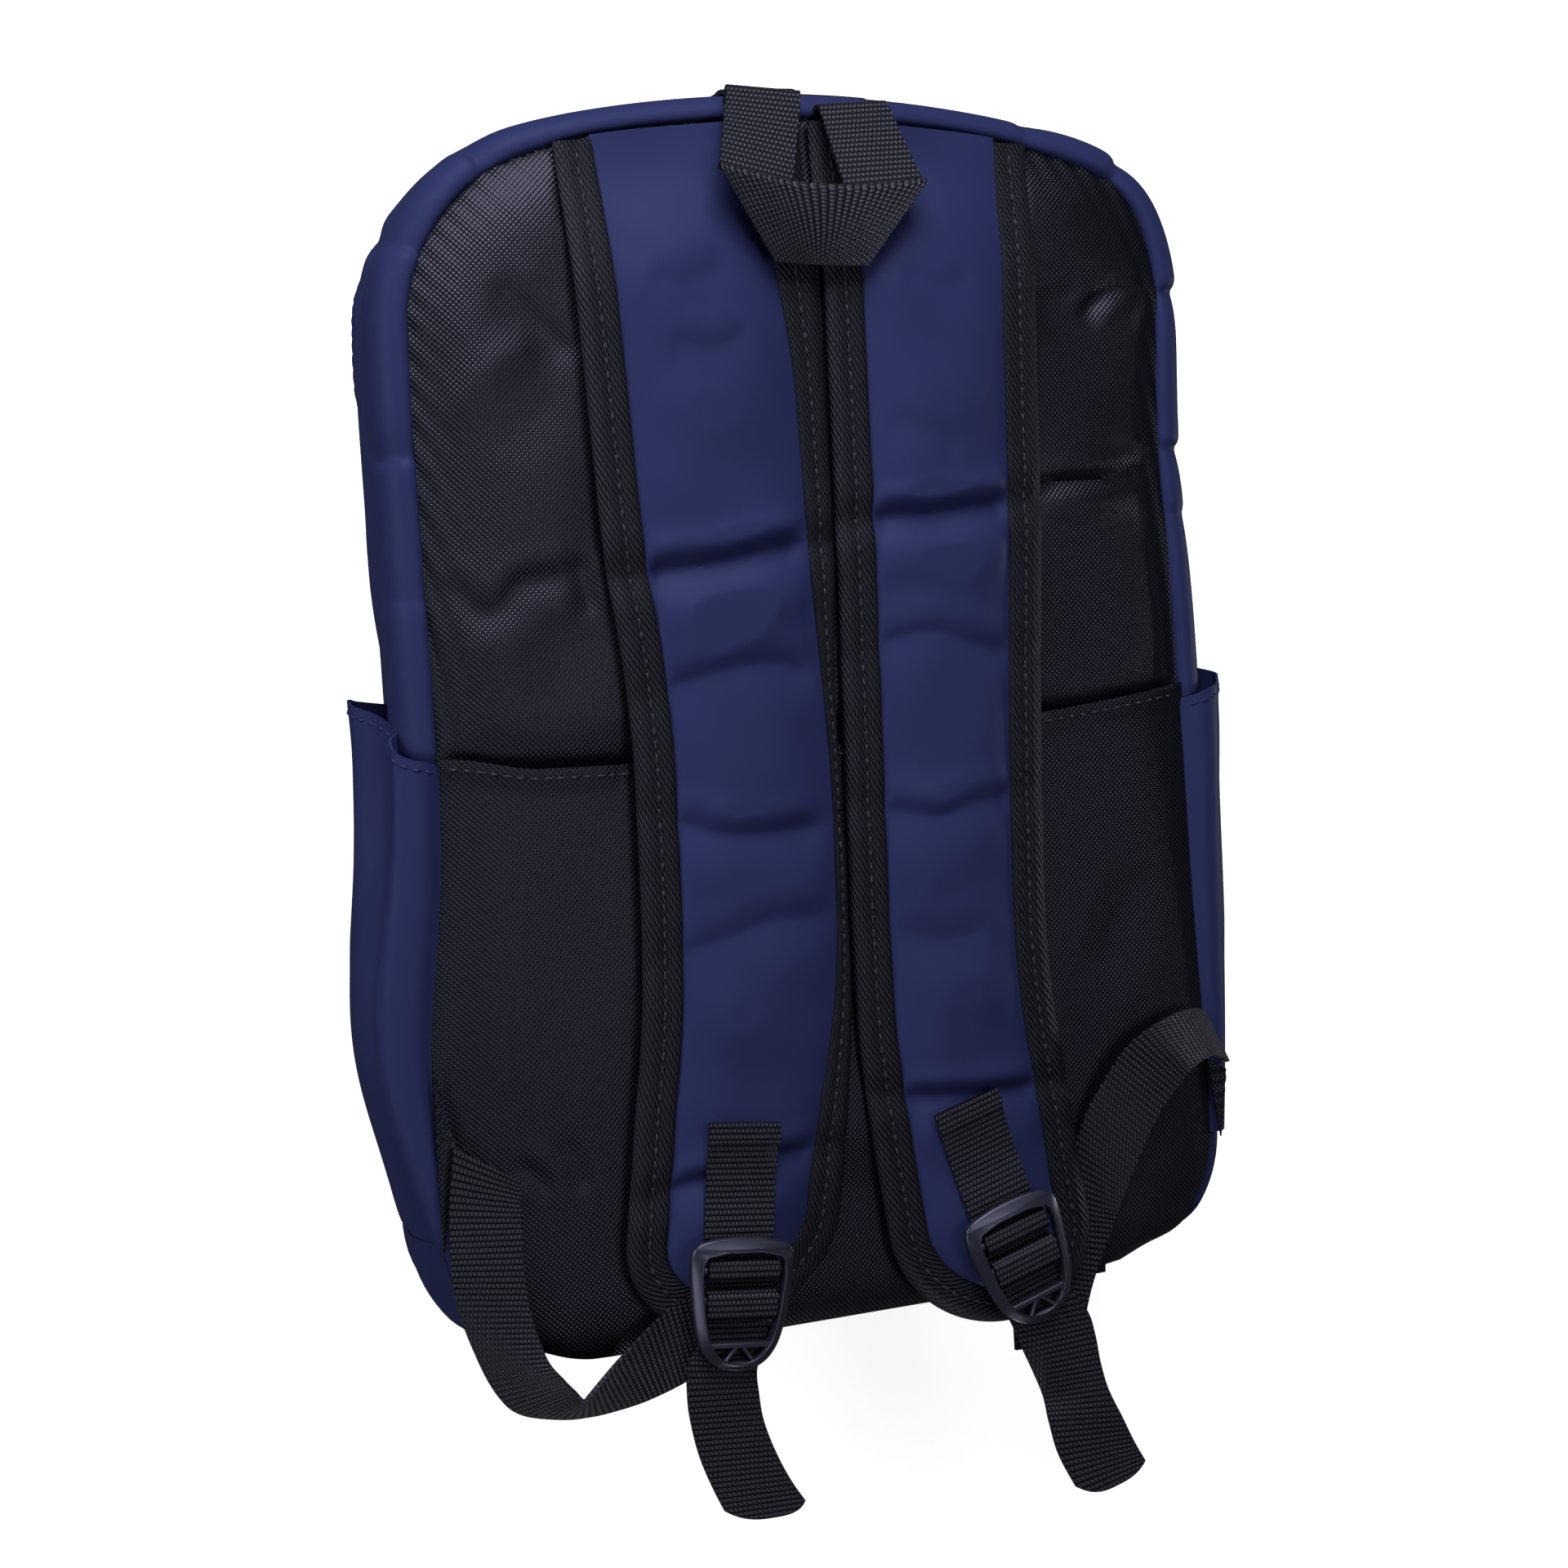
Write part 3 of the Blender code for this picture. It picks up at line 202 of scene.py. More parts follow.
def read_off(table, steps, marks):
    """Rows of a table, read between its lines at marks along its steps."""
    return np.column_stack([np.interp(marks, steps, column) for column in np.transpose(table)])


def unit(vectors):
    return vectors / np.linalg.norm(vectors, axis=1)[:, None]


def arc(centre, radius, start, end):
    angles = np.radians(np.linspace(start, end, 60))
    return np.column_stack((centre[0] + radius * np.cos(angles), centre[1] + radius * np.sin(angles)))


def half_outline():
    """The left half of the outline, from the middle of the base to the middle of the top."""
    top_x = HALF_WIDTH - TOP_CORNER
    lean = math.asin(top_x / (ARCH_RADIUS - TOP_CORNER))
    top_y = ARCH_Y + (ARCH_RADIUS - TOP_CORNER) * math.cos(lean)
    turn = 90 + math.degrees(lean)
    return np.vstack((
        np.column_stack((np.linspace(0.0, -BASE_FLAT, 30), np.full(30, BASE_Y))),
        arc((-BASE_FLAT, SIDE_FOOT), BASE_CORNER, 270, 180),
        arc((-top_x, top_y), TOP_CORNER, 180, turn),
        arc((0.0, ARCH_Y), ARCH_RADIUS, turn, 90),
    ))


left_half = half_outline()
outline = np.vstack((left_half, left_half[-2:0:-1] * (-1.0, 1.0), left_half[:1]))
runs = distances(outline)
keep = np.concatenate(([True], np.diff(runs) > 1e-9))
outline, runs = outline[keep], runs[keep]
GIRTH = runs[-1]


def slump(x, y):
    """How far the back edge of the base sinks in, most of all at the right corner."""
    cut = 0.0055 * np.exp(-((x - 0.113) ** 2 + (y + 0.207) ** 2) / 0.022 ** 2)
    return cut + 0.0041 * smooth_step(-0.190, -0.210, y)


def spread(x, y):
    """How far the stuffed bag stands out from its sewn outline."""
    low_left = 0.0095 * np.exp(-((y + 0.108) / 0.052) ** 2) * (x < -0.10)
    low_right = 0.0030 * np.exp(-((y + 0.150) / 0.060) ** 2) * (x > 0.10)
    shoulder = 0.0042 * np.exp(-((x - 0.126) ** 2 + (y - 0.184) ** 2) / 0.024 ** 2)
    hollow = 0.0025 * np.exp(-((x + 0.124) ** 2 + (y - 0.170) ** 2) / 0.030 ** 2)
    slack = 0.0030 * np.exp(-((y - 0.095) / 0.050) ** 2) * (x > 0.10)
    return low_left + low_right + shoulder - hollow - slack - slump(x, y)


def outline_at(run):
    """Points (x, y) of the sewn outline, at runs from the middle of the base."""
    return read_off(outline, runs, np.mod(run, GIRTH))


def edge(run, outset=0.0):
    """Points of the stuffed outline, moved outwards, and their outward directions."""
    along = unit(outline_at(run + EDGE_STEP) - outline_at(run - EDGE_STEP))
    out = np.column_stack((-along[:, 1], along[:, 0]))
    place = outline_at(run)
    reach = spread(*place.T) + outset
    return place + out * np.reshape(reach, (-1, 1)), out


print("girth", round(GIRTH, 4), "m")

# %% [markdown]
# ## Cloth helpers
#
# A grid primitive is a sheet of cloth before it is sewn. Each of its points is moved to its place by
# a small function, its UV map is set in metres so that a weave keeps its real size, and a Solidify
# modifier gives it the thickness of the cloth. Creases are valleys along a line, with a soft swell
# on both sides.

# %% Cloth helpers
WELD_REACH = 0.00002


def curve(points, shares):
    """Smooth curve through points, at shares of the way along."""
    points = np.asarray(points, float)
    last = len(points) - 1
    place = np.clip(shares, 0.0, 1.0) * last
    i = np.minimum(place.astype(int), last - 1)
    t = (place - i)[:, None]
    p0, p1 = points[np.maximum(i - 1, 0)], points[i]
    p2, p3 = points[i + 1], points[np.minimum(i + 2, last)]
    return 0.5 * (2 * p1 + (p2 - p0) * t + (2 * p0 - 5 * p1 + 4 * p2 - p3) * t ** 2
                  + (3 * p1 - p0 - 3 * p2 + p3) * t ** 3)


def crease(x, y, line, depth, width, lean=0.0):
    """Height of cloth that is creased along a line.

    The crease is a valley, steeper on its left by lean, with a swell on both sides.
    """
    line = curve(line, np.linspace(0.0, 1.0, 4 * len(line)))
    lengths = np.hypot(*np.diff(line, axis=0).T)
    total = lengths.sum()
    best = np.full(np.shape(x), 1e9)
    share, turn = np.zeros(np.shape(x)), np.zeros(np.shape(x))
    done = 0.0
    for (x0, y0), (x1, y1), length in zip(line[:-1], line[1:], lengths):
        t = np.clip(((x - x0) * (x1 - x0) + (y - y0) * (y1 - y0)) / length ** 2, 0.0, 1.0)
        away = np.hypot(x - x0 - t * (x1 - x0), y - y0 - t * (y1 - y0))
        nearer = away < best
        best = np.where(nearer, away, best)
        share = np.where(nearer, (done + t * length) / total, share)
        turn = np.where(nearer, np.sign((x1 - x0) * (y - y0) - (y1 - y0) * (x - x0)), turn)
        done += length
    fade = smooth_step(0.0, 0.22, share) * smooth_step(1.0, 0.78, share)
    width = width * (1.0 - lean * turn)
    valley = np.exp(-(best / width) ** 1.6)
    swell = 0.35 * np.exp(-((best - 2.2 * width) / (1.3 * width)) ** 2)
    return depth * fade * (swell - valley)


def creases(x, y, folds, lean=0.0):
    """Height of cloth with several creases, each given by its line, depth and width."""
    return sum(crease(x, y, *fold, lean) for fold in folds)


def activate(piece):
    bpy.ops.object.select_all(action="DESELECT")
    piece.select_set(True)
    bpy.context.view_layer.objects.active = piece


def cut_flat(width, length):
    """The place of a sheet's points in a flat piece of cloth, in metres."""
    return lambda u, v: np.column_stack((width * u, length * v))


def lay_sheet(name, columns, rows, place, weave=None):
    """A grid of cloth. place gives each point's position and weave its place in the cloth."""
    bpy.ops.object.select_all(action="DESELECT")
    bpy.ops.mesh.primitive_grid_add(x_subdivisions=columns, y_subdivisions=rows, size=1.0)
    sheet = bpy.context.object
    sheet.name = sheet.data.name = name
    mesh = sheet.data
    flat = np.empty(len(mesh.vertices) * 3)
    mesh.vertices.foreach_get("co", flat)
    u, v = np.clip(flat.reshape(-1, 3)[:, :2].T + 0.5, 0.0, 1.0)
    points = np.ascontiguousarray(place(u, v))
    mesh.vertices.foreach_set("co", points.ravel())
    corners = np.empty(len(mesh.loops), dtype=np.int32)
    mesh.loops.foreach_get("vertex_index", corners)
    threads = points[:, :2] if weave is None else weave(u, v)
    mesh.uv_layers[0].data.foreach_set("uv", np.ascontiguousarray(threads[corners]).ravel())
    mesh.update()
    return sheet


def thicken(piece, thickness, offset=-1.0):
    activate(piece)
    solidify = piece.modifiers.new("thickness", "SOLIDIFY")
    solidify.thickness = thickness
    solidify.offset = offset
    solidify.use_even_offset = False
    bpy.ops.object.modifier_apply(modifier=solidify.name)


def weld(piece, outwards=False):
    """Merge the points that meet, and turn the faces outwards if asked."""
    activate(piece)
    bpy.ops.object.mode_set(mode="EDIT")
    bpy.ops.mesh.select_all(action="SELECT")
    bpy.ops.mesh.remove_doubles(threshold=WELD_REACH)
    if outwards:
        bpy.ops.mesh.normals_make_consistent(inside=False)
    bpy.ops.object.mode_set(mode="OBJECT")


def dress(piece, surface, body=None, nodes=(), angle=50):
    """Smooth a finished piece, give it its cloth, put it on its body and let it stand for its solids."""
    activate(piece)
    bpy.ops.object.shade_smooth_by_angle(angle=math.radians(angle))
    piece.data.materials.clear()
    piece.data.materials.append(surface)
    if body:
        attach(piece, body)
    if nodes:
        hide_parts(*nodes)
    print(piece.name, len(piece.data.polygons), "faces")
    return piece

# %% [markdown]
# ## Navy coated cloth
#
# The body and the straps are nylon with a thin matt coating. It gives a smooth, slightly satin
# surface with broad soft highlights, tiny grain, and hardly any visible thread. The grain of the
# coating is about 0.4 mm, which is too fine for the render, so it is drawn at 1.2 mm.

# %% Navy coated cloth
MM = 0.001


def new_material(name, colour, roughness, **sockets):
    """A material with its Principled shader's plain values set."""
    made = bpy.data.materials.new(name)
    made.use_nodes = True
    shader = made.node_tree.nodes["Principled BSDF"]
    shader.inputs["Base Color"].default_value = srgb(colour)
    shader.inputs["Roughness"].default_value = roughness
    shader.inputs["Specular Tint"].default_value = srgb("#C9C8F0")
    for socket, value in sockets.items():
        shader.inputs[socket.replace("_", " ")].default_value = value
    return made, made.node_tree, shader


navy_cloth, tree, shader = new_material("navy_coated_nylon", "#272E57", 0.55, Specular_IOR_Level=0.14)
spot = add_node(tree, "ShaderNodeTexCoord")
cloud = add_node(tree, "ShaderNodeTexNoise", {
    "Vector": spot.outputs["Object"], "Scale": 14.0, "Detail": 3.0,
})
shade = add_node(tree, "ShaderNodeMix", {
    "Factor": cloud.outputs["Fac"], "A": srgb("#242A53"), "B": srgb("#2B325E"),
}, data_type="RGBA")
tree.links.new(shade.outputs["Result"], shader.inputs["Base Color"])
grain = add_node(tree, "ShaderNodeTexNoise", {
    "Vector": spot.outputs["Object"], "Scale": 1 / (1.2 * MM), "Detail": 1.0,
})
relief = add_node(tree, "ShaderNodeBump", {
    "Height": grain.outputs["Fac"], "Strength": 0.10, "Distance": 0.3 * MM,
})
tree.links.new(relief.outputs["Normal"], shader.inputs["Normal"])
print(navy_cloth.name)

# %% [markdown]
# ## Black oxford cloth
#
# The back panel and its slip pocket are oxford polyester, a basket weave of shiny yarn. Each place
# where a yarn rises catches a small light from its bump, and is also painted lighter, a painted
# highlight, while the gaps between the yarns are painted darker, a painted shade, so the cloth shows
# slanting rows of dots. Their real spacing, about 0.8 mm, is too fine for the render, so they are
# drawn about 1.3 mm apart. The same function weaves the zip tape and the lining later, with the same
# painted highlight and shade.

# %% Black oxford cloth
TAU = 2 * math.pi
# How sharply the painted highlight gathers on the top of each yarn.
YARN_PAINTED_LIGHT_POWER = 1.7


def weave_axes(tree, pitch_u, pitch_v):
    """The UV map's parts, and its sines along both threads in turns of the given pitches."""
    threads = add_node(tree, "ShaderNodeTexCoord")
    split = add_node(tree, "ShaderNodeSeparateXYZ", {"Vector": threads.outputs["UV"]})
    waves = []
    for axis, pitch in (("X", pitch_u), ("Y", pitch_v)):
        turns = add_node(tree, "ShaderNodeMath", {0: split.outputs[axis], 1: TAU / pitch},
                         operation="MULTIPLY")
        waves.append(add_node(tree, "ShaderNodeMath", {0: turns.outputs[0]}, operation="SINE"))
    return split, waves[0].outputs[0], waves[1].outputs[0]


def finish_weave(tree, shader, height, shaded_gap, lit_yarn, depth, strength):
    """Paint shade into the gaps and a highlight onto the yarns of a weave by its height, and raise the
    yarns.
    """
    # The colour runs from painted shade in the gaps to a painted highlight on the yarns' crowns.
    crown = add_node(tree, "ShaderNodeMath", {0: height, 1: YARN_PAINTED_LIGHT_POWER}, operation="POWER")
    shade = add_node(tree, "ShaderNodeMix", {
        "Factor": crown.outputs[0], "A": srgb(shaded_gap), "B": srgb(lit_yarn),
    }, data_type="RGBA")
    tree.links.new(shade.outputs["Result"], shader.inputs["Base Color"])
    relief = add_node(tree, "ShaderNodeBump", {"Height": height, "Strength": strength, "Distance": depth})
    tree.links.new(relief.outputs["Normal"], shader.inputs["Normal"])


def basket_weave(name, colour, roughness, pitch, valley, shaded_gap, lit_yarn, depth, strength, **sockets):
    """A cloth whose yarns cross over and under, with nothing lower than the valley drawn."""
    made, tree, shader = new_material(name, colour, roughness, **sockets)
    _, wave_u, wave_v = weave_axes(tree, pitch, pitch)
    crossing = add_node(tree, "ShaderNodeMath", {0: wave_u, 1: wave_v}, operation="MULTIPLY")
    height = add_node(tree, "ShaderNodeMapRange", {
        "Value": crossing.outputs[0], "From Min": valley, "From Max": 1.0,
    })
    finish_weave(tree, shader, height.outputs[0], shaded_gap, lit_yarn, depth, strength)
    return made


# The darker colour is painted shade in the weave's gaps, the lighter one a painted highlight on the yarns.
oxford = basket_weave(
    "black_oxford_polyester", "#0D0C12", 0.34, pitch=1.9 * MM, valley=-0.6, shaded_gap="#030304", lit_yarn="#201F29",
    depth=0.35 * MM, strength=0.5, Specular_IOR_Level=0.50,
)
print(oxford.name)

# %% [markdown]
# ## Webbing and twill tape
#
# Webbing is a thick narrow weave. Its filling yarn makes ribs across the width, about 2 mm apart,
# and each rib is a row of beads. The straps' edges are bound with twill tape, whose threads climb
# across it in steep slanting lines.

# %% Webbing and twill tape
RIB, BEAD = 2.0 * MM, 1.5 * MM
TWILL_PITCH, TWILL_CLIMB, PLY_PITCH = 3.2 * MM, 1.6, 1.1 * MM

webbing, tree, shader = new_material(
    "black_polypropylene_webbing", "#0E0E12", 0.45, Specular_IOR_Level=0.4,
)
split, _, wave_v = weave_axes(tree, BEAD, 2 * RIB)
row = add_node(tree, "ShaderNodeMath", {0: split.outputs["Y"], 1: RIB}, operation="DIVIDE")
row_index = add_node(tree, "ShaderNodeMath", {0: row.outputs[0]}, operation="FLOOR")
stagger = add_node(tree, "ShaderNodeMath", {0: row_index.outputs[0], 1: math.pi}, operation="MULTIPLY")
across = add_node(tree, "ShaderNodeMath", {
    0: split.outputs["X"], 1: TAU / BEAD, 2: stagger.outputs[0],
}, operation="MULTIPLY_ADD")
beads = add_node(tree, "ShaderNodeMath", {0: across.outputs[0]}, operation="SINE")
rib = add_node(tree, "ShaderNodeMath", {0: wave_v}, operation="ABSOLUTE")
bead_share = add_node(tree, "ShaderNodeMapRange", {
    "Value": beads.outputs[0], "From Min": -1.0, "From Max": 1.0, "To Min": 0.45, "To Max": 1.0,
})
height = add_node(tree, "ShaderNodeMath", {0: rib.outputs[0], 1: bead_share.outputs[0]},
                  operation="MULTIPLY")
# The beads of each rib are painted lighter, a painted highlight, and the grooves between them darker, a
# painted shade.
finish_weave(tree, shader, height.outputs[0], "#010102", "#3A3943", 0.6 * MM, 0.8)

twill, tree, shader = new_material("black_twill_tape", "#0C0C10", 0.5, Specular_IOR_Level=0.3)
threads = add_node(tree, "ShaderNodeTexCoord")
split = add_node(tree, "ShaderNodeSeparateXYZ", {"Vector": threads.outputs["UV"]})
climb = add_node(tree, "ShaderNodeMath", {
    0: split.outputs["X"], 1: TWILL_CLIMB, 2: split.outputs["Y"],
}, operation="MULTIPLY_ADD")
turns = add_node(tree, "ShaderNodeMath", {0: climb.outputs[0], 1: TAU / TWILL_PITCH}, operation="MULTIPLY")
ridge = add_node(tree, "ShaderNodeMath", {0: turns.outputs[0]}, operation="SINE")
ply = add_node(tree, "ShaderNodeMath", {0: split.outputs["X"], 1: TAU / PLY_PITCH}, operation="MULTIPLY")
ply_wave = add_node(tree, "ShaderNodeMath", {0: ply.outputs[0]}, operation="SINE")
knots = add_node(tree, "ShaderNodeMath", {
    0: ply_wave.outputs[0], 1: 0.35, 2: ridge.outputs[0],
}, operation="MULTIPLY_ADD")
height = add_node(tree, "ShaderNodeMapRange", {
    "Value": knots.outputs[0], "From Min": -1.2, "From Max": 1.2,
})
# The raised twill threads are painted lighter, a painted highlight, and the hollows between them darker, a
# painted shade.
finish_weave(tree, shader, height.outputs[0], "#020203", "#2A2931", 0.5 * MM, 0.8)
print(webbing.name, twill.name)

# %% [markdown]
# ## Plastic, zinc, zip tape, lining and thread
#
# The buckles are moulded acetal, which is semi-gloss with a faint blue cast. Zip sliders are zinc
# castings under black lacquer. The zip tape and the lining are plain weaves, and the stitches are
# sewing thread, black or navy.

# %% Plastic, zinc, zip tape, lining and thread
acetal, tree, shader = new_material("black_moulded_acetal", "#1E202B", 0.34, Specular_IOR_Level=1.0)
spot = add_node(tree, "ShaderNodeTexCoord")
pores = add_node(tree, "ShaderNodeTexNoise", {"Vector": spot.outputs["Object"], "Scale": 1 / (0.8 * MM)})
relief = add_node(tree, "ShaderNodeBump", {
    "Height": pores.outputs["Fac"], "Strength": 0.06, "Distance": 0.2 * MM,
})
tree.links.new(relief.outputs["Normal"], shader.inputs["Normal"])

zinc, tree, shader = new_material("black_lacquered_zinc", "#17171A", 0.30, Metallic=0.75)
spot = add_node(tree, "ShaderNodeTexCoord")
wear = add_node(tree, "ShaderNodeTexNoise", {
    "Vector": spot.outputs["Object"], "Scale": 1 / (2.5 * MM), "Detail": 4.0,
})
rub = add_node(tree, "ShaderNodeMapRange", {
    "Value": wear.outputs["Fac"], "From Min": 0.62, "From Max": 0.75, "To Min": 0.0, "To Max": 0.6,
})
shade = add_node(tree, "ShaderNodeMix", {
    "Factor": rub.outputs[0], "A": srgb("#151518"), "B": srgb("#6A6A6E"),
}, data_type="RGBA")
tree.links.new(shade.outputs["Result"], shader.inputs["Base Color"])

# On the zip tape and the lining too, the gap colour is painted shade and the yarn colour a painted
# highlight.
zip_cloth = basket_weave(
    "navy_zip_tape", "#20254C", 0.7, pitch=1.2 * MM, valley=-1.0, shaded_gap="#171B38", lit_yarn="#2A3060",
    depth=0.25 * MM, strength=0.5, IOR=1.45,
)
lining = basket_weave(
    "black_taffeta_lining", "#1B1B1F", 0.55, pitch=1.0 * MM, valley=-1.0, shaded_gap="#131316", lit_yarn="#25252A",
    depth=0.15 * MM, strength=0.4, IOR=1.45,
)


def thread_material(name, dark, light):
    """Sewing thread: two plies that twist round each other about every 1.2 mm, with a painted highlight on
    each ply and painted shade between.
    """
    made, tree, shader = new_material(name, dark, 0.55, IOR=1.5)
    spot = add_node(tree, "ShaderNodeTexCoord")
    twist = add_node(tree, "ShaderNodeTexWave", {
        "Vector": spot.outputs["Object"], "Scale": 1 / (4.0 * MM),
    }, bands_direction="DIAGONAL")
    finish_weave(tree, shader, twist.outputs["Fac"], dark, light, 0.1 * MM, 0.4)
    return made


# For each thread the darker colour is painted shade between the plies and the lighter one a painted
# highlight on them.
black_thread = thread_material("black_sewing_thread", "#121216", "#33323B")
navy_thread = thread_material("navy_sewing_thread", "#141836", "#2A3064")
print(len(bpy.data.materials), "materials")

# %% [markdown]
# ## Gusset, sides and base
#
# A gusset is the strip that gives a bag its depth. Here a long one runs over the top, two shorter
# panels close the sides and a fourth closes the base. Each is a sheet that hangs along the outline,
# with a section that swells between its seams. The sides also draw in towards the front, as on a bag
# that isn't stuffed full. A dark slit and a pinch high on the left come from the way the cloth folds.

# %% Gusset, sides and base
CLOTH = 0.0009
TAPER = 0.0080
WALL_DEPTH = 0.07
GUSSET_FOLDS = [
    ([(0.500, 0.109), (0.484, 0.100), (0.468, 0.094), (0.455, 0.089)], 0.0030, 0.0014),
    ([(0.506, 0.128), (0.511, 0.110), (0.517, 0.086)], 0.0012, 0.0034),
    ([(0.418, 0.118), (0.401, 0.106), (0.366, 0.100)], 0.0009, 0.0040),
    ([(0.838, 0.120), (0.845, 0.100), (0.842, 0.080)], 0.0012, 0.0040),
]
WALL_SECTION = [
    (0.0002, 0.1275), (0.0008, 0.1180), (0.0008, 0.1050), (0.0006, 0.0900), (0.0003, 0.0760), (0.0, 0.0652),
]
BASE_SECTION = WALL_SECTION[:-1] + [(0.0, 0.0585)]


def taper(run, height):
    """How far the sides draw in towards the front, and the base and the low left corner come out."""
    x, y = outline_at(run).T
    side = smooth_step(0.060, 0.115, np.abs(x)) * smooth_step(-0.205, -0.160, y)
    drawn_in = TAPER * side * smooth_step(0.102, 0.062, height)
    sunk = slump(x, y) * smooth_step(0.118, 0.075, height)
    corner = 0.0050 * np.exp(-((x + 0.138) ** 2 + (y + 0.178) ** 2) / 0.034 ** 2)
    return drawn_in - sunk - corner * smooth_step(0.126, 0.104, height)


def no_puff(run, height):
    return np.zeros(len(run))


def side_puff(run, height):
    return 0.0006 * np.sin(np.pi * np.clip((height - 0.066) / 0.060, 0.0, 1.0))


def gusset_puff(run, height):
    swell = 0.0046 * np.sin(np.pi * np.clip((height - 0.066) / 0.060, 0.0, 1.0) ** 1.6)
    swell *= 0.25 + 0.75 * smooth_step(0.015, 0.060, outline_at(run)[:, 1])
    return swell + creases(run, height, GUSSET_FOLDS)


def hang(name, run_from, run_to, section, columns, rows, puff=no_puff):
    """A panel along the outline. The section has (outset, height) knots from its back edge to its front."""
    def place(u, v):
        run = run_from + (run_to - run_from) * u
        outset, height = curve(section, v).T
        flat, _ = edge(run, outset + puff(run, height) - taper(run, height))
        return np.column_stack((flat, height))

    panel = lay_sheet(name, columns, rows, place, cut_flat(run_to - run_from, WALL_DEPTH))
    thicken(panel, CLOTH)
    return panel


for name, run_from, run_to, section, columns, rows, puff in (
    ("top_gusset", SIDE_SPLIT - 0.004, GIRTH - SIDE_SPLIT + 0.004, WALL_SECTION, 300, 44, gusset_puff),
    ("left_side_panel", SIDE_START - 0.002, SIDE_SPLIT, WALL_SECTION, 60, 44, side_puff),
    ("right_side_panel", GIRTH - SIDE_SPLIT, GIRTH - SIDE_START + 0.002, WALL_SECTION, 60, 44, side_puff),
    ("base_panel", -SIDE_START, SIDE_START, BASE_SECTION, 120, 30, gusset_puff),
):
    panel = hang(name + "_cloth", run_from, run_to, section, columns, rows, puff)
    dress(panel, navy_cloth, "shell", [name])

# %% [markdown]
# ## Rolled edge
#
# Where the gusset turns over the edge of the foam it makes a soft roll, navy against the black panel.
# It is one long sheet that goes once round the bag and meets itself. Pinches nip it in where the
# cloth was folded, and below the side pockets and along the base it flattens and turns under.

# %% Rolled edge
ROLL_SECTION = [
    (-0.0066, 0.1300), (-0.0064, 0.1326), (-0.0048, 0.1343), (-0.0016, 0.1343), (0.0016, 0.1324),
    (0.0038, 0.1292), (0.0050, 0.1250), (0.0053, 0.1205), (0.0053, 0.1160), (0.0048, 0.1116),
]
ROLL_CORE = np.array((-0.0020, 0.1255))
ROLL_PINCHES = [
    (0.3910, 0.0050, 0.12), (0.4375, 0.0040, 0.30), (0.5080, 0.0044, 0.32), (0.5480, 0.0044, 0.32),
    (0.7520, 0.0050, 0.14), (0.7900, 0.0044, 0.30), (0.8390, 0.0044, 0.36), (0.8960, 0.0040, 0.30),
    (0.9200, 0.0050, 0.14),
]
SEAM_OUTSET = -0.0060


def seam_outset(run):
    """Where the black cloth meets the roll: closer to the edge over the arch, past it along the base."""
    x, y = outline_at(run).T
    arch = smooth_step(0.112, 0.070, np.abs(x)) * (y > 0.1)
    return SEAM_OUTSET + 0.0032 * arch + 0.0052 * smooth_step(-0.186, -0.206, y)


def flattened(run):
    """1 where the side pockets and the base press the roll flat, 0 above them."""
    return smooth_step(0.004, -0.010, outline_at(run)[:, 1])


def nipped(run):
    """How far the pinches nip the roll in, sharply on one side and slowly on the other."""
    nip = np.zeros(len(run))
    for place, width, depth in ROLL_PINCHES:
        away = (run - place) / width
        nip += depth * np.exp(-np.abs(np.where(away < 0, away * 2.4, away * 0.5)) ** 1.3)
    return nip


def roll_place(u, v):
    run = GIRTH * u
    flat_share = flattened(run)
    fullness = 1.0 - nipped(run) * np.sin(np.pi * np.clip(v, 0.0, 1.0)) - 0.42 * flat_share
    section = ROLL_CORE + (curve(ROLL_SECTION, v) - ROLL_CORE) * fullness[:, None]
    turned_under = 0.0030 * smooth_step(-0.180, -0.205, outline_at(run)[:, 1])
    seam_shift = (seam_outset(run) - SEAM_OUTSET) * (1.0 - v) ** 2 * (1.0 - flat_share)
    flat, _ = edge(run, section[:, 0] + seam_shift - 0.0012 * flat_share)
    return np.column_stack((flat, section[:, 1] - 0.0008 * flat_share - turned_under))


roll = lay_sheet("rolled_edge", 1000, 18, roll_place, cut_flat(GIRTH, 0.03))
weld(roll)
thicken(roll, CLOTH)
dress(roll, navy_cloth, "shell", ["back_edge_roll"])

# %% [markdown]
# ## Back panel
#
# The back panel is oxford cloth over foam. Its sheet is laid in rings, from the seam to the middle,
# so that the seam stays smooth and the crown rises from it on all sides. It sinks where the straps
# are sewn in at the top. The wrinkles are the ones that the bag's bending has pressed into the foam.

